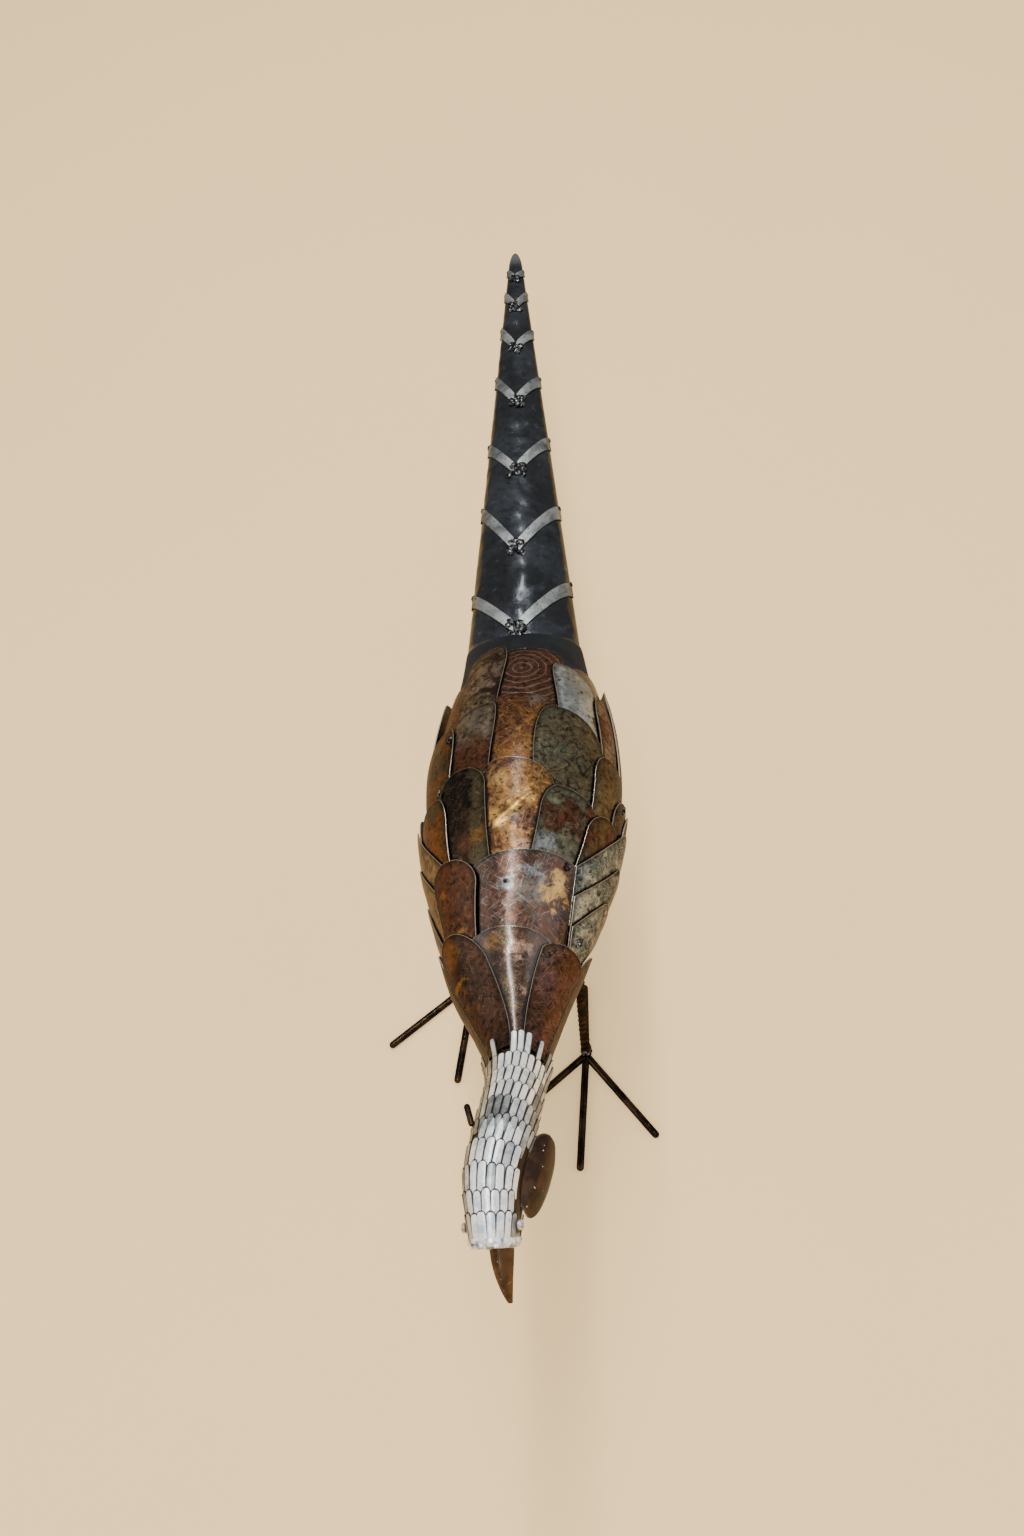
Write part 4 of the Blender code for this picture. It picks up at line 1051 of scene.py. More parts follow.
def band_steel():
    """Light steel strip with fine dark specks and a darker rim."""
    finish = Finish("band_steel")
    broad = finish.cloud(finish.place(7), 60, 5, 0.6, 0.5)
    grain = finish.cloud(finish.place(9), 700, 4)
    colour = finish.mix(finish.step(broad, 0.35, 0.65), tone(126, 132, 134), tone(176, 180, 181))
    colour = finish.mix(finish.step(grain, 0.44, 0.32) * 0.8, colour, UMBER)
    smudge = finish.step(finish.cloud(finish.place(19), 170, 5, 0.6), 0.60, 0.68)
    colour = finish.mix(smudge * 0.6, colour, SOOT)
    rim = finish.step(finish.attribute("to_edge"), 0.8, 0.1)
    colour = finish.mix(rim * 0.7, colour, tone(52, 54, 55))
    return finish.surface(colour, broad * 0.2 + 0.30, grain * 0.3 + broad * 0.5, 0.3 * MM, 0.4)


def band_sheet(shape, vertex, width, sweep, hand):
    """One arm, from the ridge to the trough's edge."""
    to_edge = shape.verts.layers.float["to_edge"]
    rows, columns = 4, 22
    made = bmesh.ops.create_grid(shape, x_segments=columns, y_segments=rows, size=0.5)["verts"]
    for vert in made:
        across, along = vert.co.x + 0.5, vert.co.y + 0.5
        angle = hand * (ARM_START + (ARM_END - ARM_START) * across)
        behind = vertex
        for _ in range(6):
            reach = tail_half_width(max(behind, 0)) * math.sin(math.radians(abs(angle)))
            behind = vertex + sweep * reach
        behind += along * width * math.hypot(1, sweep) * 0.8
        behind = min(behind, TAIL_FREE - 2 * MM)
        bend = 0.25 * MM * noise.noise(Vector((across * 3, vertex * 90, hand)))
        vert.co = tail_point(behind, angle, SHEET + BAND_GAP + abs(bend))
        vert[to_edge] = min(along, 1 - along) * width / MM
    return made


def make_bands():
    steel = band_steel()
    for number, (vertex, width, left_sweep, right_sweep) in enumerate(BANDS, 1):
        shape = numbered_shape("to_edge")
        band_sheet(shape, vertex, width, left_sweep, -1)
        band_sheet(shape, vertex, width, right_sweep, 1)
        bmesh.ops.recalc_face_normals(shape, faces=shape.faces)
        for face in shape.faces:
            if face.normal.z < 0:
                face.normal_flip()
        wall(shape, BAND_SHEET)
        break_edges(shape, 0.15 * MM)
        new_piece(f"tail_strip_{number}", shape, steel, "band_steel", f"tail_band_{number}")


make_bands()
print(len(BANDS), "bands made")


# %% Make the tail's welds
POINT_DROPS = 18           # weld drops at the point of each band
POINT_DROP_SIZE = 0.34     # their radius as a share of the band's width
POINT_SPREAD = 0.62        # how far to each side of the fold they lie, as a share of the width
POINT_RUN = (0.1, 1.3)     # where they lie behind the point, as shares of the width
END_DROP_SIZE = 0.26       # radius of the drop at each end of a band, as a share of the width
END_ANGLE = 84             # angle round the tail at which it sits


def make_tail_welds():
    shape = bmesh.new()
    for number, (vertex, width, _, _) in enumerate(BANDS):
        size = width * POINT_DROP_SIZE
        for drop in range(POINT_DROPS):
            behind = vertex + width * chance.uniform(*POINT_RUN)
            offset = chance.uniform(-POINT_SPREAD, POINT_SPREAD) * width
            angle = math.degrees(offset / tail_half_width(vertex))
            centre = tail_point(behind, angle, SHEET + BAND_GAP + 0.3 * MM)
            radius = size * chance.uniform(0.6, 1.0)
            drop_of_weld(shape, centre, Vector((0, 0, 1)), radius, number * 9 + drop)
        for hand in (-1, 1):
            sweep = BANDS[number][2 if hand < 0 else 3]
            reach = tail_half_width(vertex)
            behind = vertex + sweep * reach * 0.95 + width * 0.9
            centre = tail_point(min(behind, TAIL_FREE - 5 * MM), hand * END_ANGLE, SHEET + 0.2 * MM)
            drop_of_weld(shape, centre, Vector((hand, 0, 0)), width * END_DROP_SIZE, number + 40)
    return new_piece("tail_welds", shape, WELD, "black_bar")


print(make_tail_welds().name, "made")

# %% [markdown]
# ## The small feathers
# The neck and the head are a tube of dark sheet with rows of little strips welded on, each about six
# millimetres wide with a round end that points to the tail. Each row's tips lie over the roots of the
# row behind it. A number on every strip says how bright it is: some are polished and some are dull,
# and besides that the number is higher on the top than on the sides and low in the last neck rows,
# which is painted light and painted shade.

# %% One feather
FEATHER_SHEET = 0.5 * MM
FEATHER_STEPS = 3          # rows of faces on the straight part
FEATHER_TURNS = (20, 40, 58, 74, 84)   # degrees at which the round tip is stepped
FEATHER_COLUMNS = 6
FEATHER_CROWN = 0.35 * MM
FEATHER_NUMBERS = ("to_edge", "shine", "warm")


def feather(shape, tip, root, angle, width, tip_lift, root_lift, bright, slant=0.0):
    """Adds one strip from its root to its round tip, which lies nearer the tail."""
    to_edge = shape.verts.layers.float["to_edge"]
    shine = shape.verts.layers.float["shine"]
    warm = shape.verts.layers.float["warm"]
    straight = 1 - width / 2 / abs(root - tip)
    rows = [(straight * step / FEATHER_STEPS, 1.0) for step in range(FEATHER_STEPS + 1)]
    rows += [(straight + (1 - straight) * math.sin(math.radians(turn)), math.cos(math.radians(turn)))
             for turn in FEATHER_TURNS]
    last = len(rows) - 1
    made = bmesh.ops.create_grid(shape, x_segments=FEATHER_COLUMNS, y_segments=last, size=0.5)["verts"]
    for vert in made:
        across = vert.co.x * 2
        share, wide = rows[round((vert.co.y + 0.5) * last)]
        half = width / 2 * wide
        along = root + (tip - root) * share
        lift = root_lift + (tip_lift - root_lift) * share
        _, _, _, _, half_width, rise, drop = station(along)
        height = rise if abs(angle) < 90 else drop
        turn = math.radians(angle)
        radius = math.hypot(half_width * math.cos(turn), height * math.sin(turn)) + lift
        turned = angle + math.degrees((across * half + slant * share) / radius)
        crown = FEATHER_CROWN * (1 - across * across)
        vert.co = skin(along, turned, lift + crown - FEATHER_CROWN)
        vert[to_edge] = min((1 - abs(across)) * half, (1 - share) * abs(root - tip)) / MM
        vert[shine] = bright
        vert[warm] = smooth(-angle, 22, 48)
    return made


print("a feather has", FEATHER_COLUMNS * (FEATHER_STEPS + len(FEATHER_TURNS)), "faces on a side")


# %% Feather metal
def feather_metal():
    """Bright metal whose tone follows each strip's own number; below zero it is the dark tube."""
    finish = Finish("feather_metal", 0.45)
    shine = finish.attribute("shine")
    broad = finish.cloud(finish.place(1), 110, 5, 0.6, 0.4)
    grain = finish.cloud(finish.place(4), 800, 4)
    dull = finish.mix(finish.step(broad, 0.35, 0.65), tone(104, 108, 110), tone(156, 161, 162))
    bright = finish.mix(finish.step(broad, 0.38, 0.55), tone(206, 218, 228), tone(254, 254, 254))
    colour = finish.mix(finish.step(shine, 0.0, 0.55), dull, bright)
    beige = finish.mix(finish.step(broad, 0.4, 0.6), tone(104, 98, 82), tone(150, 142, 120))
    colour = finish.mix(finish.attribute("warm") * 0.85, colour, beige)
    colour = finish.mix(finish.step(grain, 0.40, 0.28) * 0.6, colour, GREY)
    # painted shadow: each strip's edge is darkened to near black, the shadow in the gap between strips
    rim = finish.step(finish.attribute("to_edge"), 1.15, 0.55)
    colour = finish.mix(rim * 0.96, colour, tone(30, 29, 29))
    tube = finish.step(shine, -0.2, -0.8)
    colour = finish.mix(tube, colour, tone(46, 34, 28))
    roughness = broad * 0.25 + 0.24 + rim * 0.1
    return finish.surface(colour, roughness, broad * 0.7 + grain * 0.2, 0.3 * MM, 0.5)


FEATHER_METAL = feather_metal()
print("feather metal made")

# %% [markdown]
# ## Neck and head
# The neck's first row is spread like fingers over the nape plates, with dark gaps. On the head the
# strips are a little longer and cover the crown, while the sides show the brown sheet below, and the
# front ends in a crumpled rim folded round the beak.

# %% Make the neck
NECK_ROWS = [0.394, 0.4125, 0.430, 0.4465, 0.4625, 0.4765]
NECK_FRONT = 0.4830
NECK_LEVEL = 12
NECK_LIFT = 7.4 * MM
NECK_INNER = 4.2 * MM
ROW_STEP = 1.2 * MM
FEATHER_WIDTH = 5.8 * MM
WELL_INSIDE = 5.0          # a distance from the edge, in mm, that has no rim
LOST_SHARE = 0.16          # share of the first row's strips that are missing
# Strips on the top get a higher brightness than strips on the sides: painted light on top, painted shade on
# the sides.
LIT_TOP_ANGLE = 62              # angle from the ridge within which strips are bright
# From this row on, in the hollow of the nape, the strips are painted dim: painted shade.
SHADED_NAPE_ROW = 4                # from this row on all strips are dim
NECK_TUBE = (0.4108, 0.4800)           # where along the spine the dark tube starts and ends
TUBE_SINK = 1.2 * MM       # how far below the first row the tube starts
ROOT_COVER = 5 * MM        # how far a strip's root runs in under the next row
CREVICE = 0.4 * MM         # air between one layer of the sleeves and the next
SLANT = 0.5                # millimetres by which a strip may lean to a side
RAGGED = (2.4, 0.6)        # millimetres by which tips vary in the first row and in the others
SLIM = (0.84, 0.94)        # how much of its place a strip fills there


def row_angles(along, lift, width, number):
    """The angles of a row's strips, from -180 to 180; every second row is half a strip further."""
    _, _, _, _, half_width, rise, drop = station(along)
    count = round(math.pi * (half_width + (rise + drop) / 2 + 2 * lift) / width)
    return [(360 * (i + 0.5 * (number % 2)) / count + 180) % 360 - 180 for i in range(count)]


def rolled_points(shape, columns, rows, place):
    """Adds a rolled grid well inside its edge and gives its points."""
    count = len(shape.verts)
    roll_grid(shape, columns, rows, place)
    shape.verts.ensure_lookup_table()
    points = shape.verts[count:]
    for point in points:
        point[shape.verts.layers.float["to_edge"]] = WELL_INSIDE
    return points


def neck_tube(shape):
    """Adds the dark tube that the strips are welded to."""
    start, end = NECK_TUBE
    low = level_lift(NECK_LEVEL, start) - TUBE_SINK
    for point in rolled_points(shape, 48, 12, lambda u, v: skin(
            start + (end - start) * v, 360 * u, low + (NECK_INNER - low) * v)):
        point[shape.verts.layers.float["shine"]] = -1.0


def neck_row(shape, number, tip, root):
    kind = 0 if number == 0 else 1
    start = NECK_LIFT if number else level_lift(NECK_LEVEL, tip) + FEATHER_SHEET
    for angle in row_angles(tip, start, FEATHER_WIDTH, number):
        if number == 0 and chance.random() < LOST_SHARE:
            continue
        # brightness varies at random, and is raised on top and lowered on the sides and nape rows as
        # painted light and shade
        bright = chance.uniform(0.2, 1.0) if abs(angle) < LIT_TOP_ANGLE else chance.uniform(-0.1, 0.5)
        if number >= SHADED_NAPE_ROW:
            bright = chance.uniform(-0.1, 0.35)
        near = tip + chance.uniform(-RAGGED[kind], RAGGED[kind]) * MM
        feather(shape, near, root + ROOT_COVER, angle, FEATHER_WIDTH * SLIM[kind], start,
                NECK_LIFT - ROW_STEP - CREVICE, bright, chance.uniform(-SLANT, SLANT) * MM)


def make_sleeve(name, node, rows, front, add_row, add_tube):
    """Makes one piece of the strips of a sleeve and the tube under them."""
    shape = numbered_shape(*FEATHER_NUMBERS)
    for number, (tip, root) in enumerate(zip(rows, [*rows[1:], front])):
        add_row(shape, number, tip, root)
    add_tube(shape)
    face_all_out(shape)
    wall(shape, FEATHER_SHEET)
    return new_piece(name, shape, FEATHER_METAL, "feather_steel", node)


def face_all_out(shape):
    """Turns every face away from the spine, strip by strip."""
    bmesh.ops.recalc_face_normals(shape, faces=shape.faces)
    centres = [Vector(row[1:4]) for row in SPINE[::6]]
    for face in shape.faces:
        middle = face.calc_center_median()
        nearest = min(centres, key=lambda centre: (centre - middle).length_squared)
        if face.normal.dot(middle - nearest) < 0:
            face.normal_flip()


print(make_sleeve("neck_strips", "neck_feathers", NECK_ROWS, NECK_FRONT, neck_row, neck_tube).name,
      "made")

# %% Make the head
HEAD_ROWS = [0.4795, 0.4930, 0.5070, 0.5210, 0.5335]
HEAD_FRONT = 0.5470
HEAD_LIFT = 7.2 * MM
HEAD_FEATHER = 6.6 * MM
BARE_SIDE = (76, 112)      # angles from the ridge between which the sheet is bare
LOST_STRIP = (-34, 6)      # angle at which the rear row lacks a strip, and how far round
# The head's strips on top get a higher brightness than those on its sides: painted light and painted shade.
HEAD_LIT_TOP_ANGLE = 70         # angle from the ridge within which the head's strips are bright
HEAD_RAGGED = 1.0          # millimetres by which the tips vary
HEAD_COVER = 4 * MM        # how far the last row's roots stay behind the front
SHELL_ROWS = 16            # rows of the sheet before its fold
SHELL_TUCK = 3 * MM        # how far the sheet starts in front of the first row's tips
FOLD_SHINE = (2 * MM, 9 * MM)          # the fold shines up to the first behind the front and
                                       # beyond the second from its middle
# millimetres ahead of the front and share of the radius, from the rim round the fold to the middle
HEAD_FOLD = [(0.0, 1.0), (1.6, 1.01), (3.2, 0.97), (4.6, 0.90), (5.4, 0.78), (5.2, 0.62), (4.6, 0.35),
             (4.4, 0.0)]


def head_row(shape, number, tip, root):
    for angle in row_angles(tip, HEAD_LIFT, HEAD_FEATHER, number):
        if BARE_SIDE[0] < abs(angle) < BARE_SIDE[1]:
            continue
        if number == 0 and abs(angle - LOST_STRIP[0]) < LOST_STRIP[1]:
            continue
        # brightness varies at random, and is raised on top and lowered on the sides as painted light and
        # shade
        bright = chance.uniform(0.15, 1.0) if abs(angle) < HEAD_LIT_TOP_ANGLE else chance.uniform(0.0, 0.5)
        near = tip + chance.uniform(-HEAD_RAGGED, HEAD_RAGGED) * MM
        feather(shape, near, root + ROOT_COVER, angle, HEAD_FEATHER * 0.95,
                HEAD_LIFT - FEATHER_SHEET, HEAD_LIFT - ROW_STEP - FEATHER_SHEET, bright,
                chance.uniform(-SLANT, SLANT) * MM)


def head_shell(shape):
    """Adds the sheet of the head, closed at the front by a crumpled fold."""
    lift = HEAD_LIFT - ROW_STEP - FEATHER_SHEET - CREVICE
    centre, _, _, forward, _, _, _ = station(HEAD_FRONT)
    rear = HEAD_ROWS[0] + SHELL_TUCK
    rows = SHELL_ROWS + len(HEAD_FOLD)

    def place(u, v):
        row = round(v * rows)
        if row <= SHELL_ROWS:
            return skin(rear + (HEAD_FRONT - HEAD_ROWS[0] - SHELL_TUCK) * row / SHELL_ROWS, 360 * u, lift)
        ahead, share = HEAD_FOLD[row - SHELL_ROWS - 1]
        rim = skin(HEAD_FRONT, 360 * u, lift + 0.9 * MM)
        turn = 2 * math.pi * u
        crumple = noise.noise(Vector((math.cos(turn) * 4.2, math.sin(turn) * 4.2, ahead * 0.8)))
        point = centre + (rim - centre) * share * (1 + 0.12 * crumple * smooth(share, 0.0, 0.6))
        return point + forward * (ahead + 1.7 * crumple * smooth(share, 0.1, 0.6)) * MM

    for point in rolled_points(shape, 72, rows, place):
        ahead = (point.co - centre).dot(forward)
        off = (point.co - centre - forward * ahead).length
        light = 0.45 + 0.9 * noise.noise(point.co / (3 * MM))
        lit = ahead > -FOLD_SHINE[0] and off > FOLD_SHINE[1]
        point[shape.verts.layers.float["shine"]] = max(light, 0.0) if lit else -1.0


print(make_sleeve("head_strips", "head_feathers", HEAD_ROWS, HEAD_FRONT - HEAD_COVER, head_row,
                  head_shell).name, "made")

# %% [markdown]
# ## Beak, cheeks and eyes
# The beak is two bent halves with a dotted weld on the ridge. The cheek wattles are dished ovals of
# brown sheet with a straighter upper edge, which is bent in to the head, and the eyes are small pale
# washers.


# %% Burnished brown sheet
def burnished(name, dark, light, specks):
    """Brown burnished steel with fine streaks and a few bright specks."""
    finish = Finish(name, 0.6)
    broad = finish.cloud(finish.place(3), 90, 5, 0.6, 0.5)
    streak = finish.cloud(finish.place(5, 0.2, (700, 60, 300)), 1.0, 3)
    grain = finish.cloud(finish.place(8), 900, 3)
    colour = finish.mix(finish.step(broad, 0.36, 0.64), dark, light)
    colour = finish.mix(finish.step(streak, 0.55, 0.70) * 0.3, colour, BISTRE)
    fleck = finish.step(finish.cloud(finish.place(13), 330, 1), 0.735, 0.76)
    colour = finish.mix(fleck * specks, colour, SILVER)
    worn = finish.step(finish.attribute("to_edge"), 0.6, 0.2)
    colour = finish.mix(worn * 0.6, colour, GREY)
    return finish.surface(colour, broad * 0.22 + 0.24, streak * 0.4 + grain * 0.2, 0.25 * MM, 0.4)


# %% Make the beak
# ahead of the head, below its axis, half width, half height
BEAK_RINGS = [
    (0.0000, 0.0000, 0.0080, 0.0085),
    (0.0090, 0.0008, 0.0071, 0.0076),
    (0.0180, 0.0030, 0.0055, 0.0060),
    (0.0265, 0.0068, 0.0036, 0.0040),
    (0.0325, 0.0110, 0.0018, 0.0022),
]
BEAK_DROP = 3.0 * MM
BEAK_SIDE = 3.8 * MM
BEAK_GAP = 0.3 * MM
HEAD_LENGTH = 6.0 * MM     # from the front row's ring to the flat where the beak starts


def beak_ring(share):
    """Ahead, below, half width and half height at a share of the beak's length."""
    rows = extended(BEAK_RINGS)
    place = share * (len(BEAK_RINGS) - 1)
    i = min(int(place), len(BEAK_RINGS) - 2)
    return catmull(rows, i + 1, place - i)


def beak_root():
    centre, side, top, forward, _, _, _ = station(HEAD_FRONT)
    root = centre + forward * (HEAD_LENGTH + BEAK_GAP) + side * BEAK_SIDE - top * BEAK_DROP
    return root, side, top, forward


def beak_point(u, v):
    root, side, top, forward = beak_root()
    ahead, below, half_width, half_height = beak_ring(min(v * 1.08, 1.0))
    if v * 1.08 > 1.0:
        left = (v * 1.08 - 1.0) / 0.08
        shrink = math.sqrt(max(0.0, 1 - left ** 2))
        half_width, half_height = half_width * shrink, half_height * shrink
        ahead += 1.2 * MM * left
        below += 0.8 * MM * left
    turn = 2 * math.pi * u
    crest = 1 + 0.15 * max(0.0, math.cos(turn)) ** 8
    pinch = 1 - 0.10 * max(0.0, math.cos(turn + math.pi / 2) ** 2) ** 6
    offset = side * half_width * pinch * math.sin(turn) + top * half_height * crest * math.cos(turn)
    return root + forward * ahead - top * below + offset


def make_beak():
    shape = numbered_shape("to_edge")
    roll_grid(shape, 40, 48, beak_point)
    close_holes(shape)
    for vert in shape.verts:
        vert[shape.verts.layers.float["to_edge"]] = WELL_INSIDE
    brown = burnished("beak_brown", tone(64, 49, 38), tone(94, 69, 46), 0.3)
    return new_piece("beak_shell", shape, brown, "beak_bronze", "beak")


def make_beak_weld():
    shape = bmesh.new()
    _, _, top, _ = beak_root()
    for dot in range(15):
        share = 0.02 + 0.045 * dot
        drop_of_weld(shape, beak_point(0.0, share) - top * 0.25 * MM, top,
                     chance.uniform(0.35, 0.60) * MM, dot)
    return new_piece("beak_weld", shape, WELD, "beak_bronze")


print(make_beak().name, "and", make_beak_weld().name, "made")

# %% Make the cheeks
CHEEK = {"behind_front": 0.051, "angle": 102, "stand_off": 2.0 * MM, "length": 0.056, "depth": 0.032,
         "yaw": 6, "dish": 3 * MM, "square": 3.4, "hem": 5 * MM}


def make_cheek(name, hand, node, brown):
    along = HEAD_FRONT - CHEEK["behind_front"]
    _, side, top, forward, _, _, _ = station(along)
    yaw = math.radians(CHEEK["yaw"])
    ahead = forward * math.cos(yaw) - side * hand * math.sin(yaw)
    out = side * hand * math.cos(yaw) + forward * math.sin(yaw)
    seat = skin(along, hand * CHEEK["angle"], HEAD_LIFT + CHEEK["stand_off"])
    middle = seat - top * CHEEK["depth"] / 2
    shape = bmesh.new()
    to_edge = shape.verts.layers.float.new("to_edge")
    grid = bmesh.ops.create_grid(shape, x_segments=32, y_segments=20, size=0.5)["verts"]
    for vert in grid:
        x, y = vert.co.x * 2, vert.co.y * 2
        x, y = x * math.sqrt(1 - y * y / 2), y * math.sqrt(1 - x * x / 2)
        far = math.hypot(x, y)
        if y < 0:
            share = y / max(math.sqrt(1 - x * x), 1e-6)
            y = share * (1 - abs(x) ** CHEEK["square"]) ** (1 / CHEEK["square"])
        wave = 0.25 * MM * noise.noise(Vector((x * 2, y * 2, hand)))
        vert.co = (middle + ahead * x * CHEEK["length"] / 2 - top * y * CHEEK["depth"] / 2
                   + out * (CHEEK["dish"] * (1 - far ** 2) + wave - CHEEK["hem"] * smooth(-y, 0.35, 1.0)))
        vert[to_edge] = (1 - far) * CHEEK["depth"] / 2 / MM
    face_out(shape, out)
    wall(shape, SHEET)
    break_edges(shape, EDGE_BREAK)
    return new_piece(name, shape, brown, "cheek_bronze", node)


cheek_brown = burnished("cheek_brown", tone(50, 39, 33), tone(76, 58, 46), 0.9)
for cheek_side, cheek_hand in (("right", 1), ("left", -1)):
    print(make_cheek(f"cheek_{cheek_side}_oval", cheek_hand, f"cheek_{cheek_side}", cheek_brown).name)

# %% Make the eyes
EYE = {"behind_front": 7.0 * MM, "angle": 84, "radius": 3.3 * MM, "height": 2.4 * MM}
EYE_SEAT = 0.6 * MM
# radius and height of the washer's profile, as shares
EYE_PROFILE = [(0.0, 0.55), (0.35, 0.60), (0.50, 0.85), (0.72, 1.0), (0.92, 0.80), (1.0, 0.45), (1.0, 0.0),
               (0.0, 0.0)]


def eye_metal():
    finish = Finish("eye_metal", 0.8)
    broad = finish.cloud(finish.place(2), 260, 4)
    colour = finish.mix(finish.step(broad, 0.35, 0.65), tone(190, 178, 160), SILVER)
    return finish.surface(colour, broad * 0.2 + 0.22, broad, 0.2 * MM, 0.3)


def make_eye(name, hand, node, metal):
    along = HEAD_FRONT - EYE["behind_front"]
    seat = skin(along, hand * EYE["angle"], HEAD_LIFT + EYE_SEAT)
    turn = skin_normal(along, hand * EYE["angle"]).to_track_quat("Z", "Y").to_matrix()
    last = len(EYE_PROFILE) - 1

    def place(u, v):
        radius, height = EYE_PROFILE[round(v * last)]
        circle = Vector((math.cos(2 * math.pi * u), math.sin(2 * math.pi * u), 0)) * radius * EYE["radius"]
        return seat + turn @ (circle + Vector((0, 0, height * EYE["height"])))

    shape = bmesh.new()
    roll_grid(shape, 32, last, place)
    bmesh.ops.recalc_face_normals(shape, faces=shape.faces)
    return new_piece(name, shape, metal, "eye_steel", node)


eye_steel = eye_metal()
for eye_side, eye_hand in (("right", 1), ("left", -1)):
    print(make_eye(f"eye_{eye_side}_washer", eye_hand, f"eye_{eye_side}", eye_steel).name)

# %% [markdown]
# ## Legs, feet and the ear tuft
# The toes are smooth round bar, and the legs are ribbed bar. All of it is dark from the rolling mill
# and shines a little. The four toes of a foot meet in a knot of weld, and on the real bird the bars
# lie flat on the ground, so the mesh is pressed flat where it touches.


# %% Bar metal
def bar_metal():
    """Dark mill scale with brown rubbed places."""
    finish = Finish("bar_metal", 0.85)
    broad = finish.cloud(finish.place(6), 60, 5, 0.6, 0.6)
    grain = finish.cloud(finish.place(2), 600, 4)
    colour = finish.mix(finish.step(broad, 0.42, 0.62), tone(30, 25, 22), tone(62, 48, 36))
    colour = finish.mix(finish.step(grain, 0.60, 0.75) * 0.5, colour, GREY)
    bright = finish.attribute("bright")
    colour = finish.mix(bright, colour, STEEL)
    return finish.surface(colour, broad * 0.25 + 0.14, grain * 0.5 + broad * 0.5, 0.3 * MM, 0.5)


BAR_METAL = bar_metal()


def add_bar(shape, start, end, radius, rib=0.0, round_start=False, dot=False):
    """Adds a round bar; rib is the height of its ribs, and its far end is a dome."""
    bright = shape.verts.layers.float["bright"]
    axis = end - start
    length = axis.length
    turn = axis.to_track_quat("Z", "Y").to_matrix()
    rows = max(16, math.ceil(length / (0.9 * MM if rib else 2.5 * MM)))
    dome = 5
    count = len(shape.verts)

    def place(u, v):
        row = round(v * (rows + 2 * dome)) - dome
        run = min(max(row / rows, 0.0), 1.0) * (length - 2 * radius) + radius
        size = radius
        if row > rows:
            bend = math.radians(90 * (row - rows) / dome)
            run, size = length - radius + radius * math.sin(bend), radius * math.cos(bend)
        if row < 0:
            bend = math.radians(90 * -row / dome)
            run = radius - radius * math.sin(bend) if round_start else 0.0
            size = radius * math.cos(bend)
        spin = 2 * math.pi * u
        if rib and 0 < row < rows:
            size += rib * smooth(math.cos(run / (1.05 * MM) + 1.2 * math.sin(spin * 2)), 0.1, 0.9)
            size += rib * 0.8 * smooth(math.cos(spin * 2), 0.93, 1.0)
        size *= 1 + 0.03 * noise.noise(Vector((run * 90, u * 4, length * 50)))
        return start + turn @ Vector((math.cos(spin) * size, math.sin(spin) * size, run))

    roll_grid(shape, 24, rows + 2 * dome, place)
    if dot:
        shape.verts.ensure_lookup_table()
        for vert in shape.verts[count:]:
            vert[bright] = smooth((vert.co - end).length, 1.6 * MM, 0.9 * MM)


def bar_piece(name, shape, slot, node):
    """Makes one piece of bars, with all faces turned out."""
    bmesh.ops.recalc_face_normals(shape, faces=shape.faces)
    return new_piece(name, shape, BAR_METAL, slot, node)


print("bars have domed ends")

# %% Make the feet
TOE_BAR = 6.4 * MM
LEG_BAR = 8.0 * MM
TOE_HEIGHT = TOE_BAR / 2 * math.cos(math.pi / 8) - 0.2 * MM
FEET = {
    "right": {"meet": (0.0275, -0.0911), "hip": (0.196, 156, 7),
              "toes": [(0.0871, -0.1689), (0.0200, -0.1961), (-0.0485, -0.1560), (0.0277, -0.0235)]},
    "left": {"meet": (-0.0717, -0.0142), "hip": (0.180, -156, 7),
             "toes": [(-0.1475, -0.0749), (-0.0865, -0.1119), (-0.0080, -0.0920), (-0.0700, 0.0660)]},
}
WELD_HEIGHT = 10 * MM
FOOT_DROPS = 26            # weld drops where a leg meets its toes
FOOT_DROP_RISE = (0.25, 1.15)          # where they sit, as shares of the weld's height
FOOT_DROP_OUT = (5.2, 3.6)             # millimetres from the leg's line, in the lower half and above
FOOT_DROP_SIZE = (1.6, 2.8)            # their radius in millimetres
HIP_DROPS = 12             # weld drops where a leg meets the body
HIP_DROP_SIZE = (1.4, 2.2)
RIB = 0.5 * MM             # height of the legs' ribs
RIB_INSET = 0.4 * MM       # how much slimmer than the bar the core under them is


def leg_line(foot):
    along, angle, level = foot["hip"]
    base = Vector((*foot["meet"], 0.0))
    top = skin(along, angle, level_lift(level, along) + SHEET)
    return base, top, (top - base).normalized()


def press_down(shape):
    """Lifts what lies under the floor up to it."""
    for vert in shape.verts:
        vert.co.z = max(vert.co.z, 0.0)


def make_foot(name, foot, node):
    shape = numbered_shape("bright")
    meet = Vector((*foot["meet"], TOE_HEIGHT))
    for across, along in foot["toes"]:
        add_bar(shape, meet, Vector((across, along, TOE_HEIGHT)), TOE_BAR / 2, dot=True)
    press_down(shape)
    return bar_piece(name, shape, "black_bar", node)


def make_foot_weld(name, foot):
    shape = bmesh.new()
    base, _, axis = leg_line(foot)
    for drop in range(FOOT_DROPS):
        height = chance.uniform(*FOOT_DROP_RISE) * WELD_HEIGHT
        turn = chance.uniform(0, 2 * math.pi)
        spread = FOOT_DROP_OUT[0 if height < WELD_HEIGHT / 2 else 1] * MM * chance.uniform(0.6, 1.0)
        out = Vector((math.cos(turn), math.sin(turn), 0.0))
        normal = (out + axis * 0.4).normalized()
        radius = chance.uniform(*FOOT_DROP_SIZE) * MM
        drop_of_weld(shape, base + axis * height + out * spread, normal, radius, drop, 0.85)
    press_down(shape)
    return new_piece(name, shape, WELD, "black_bar")


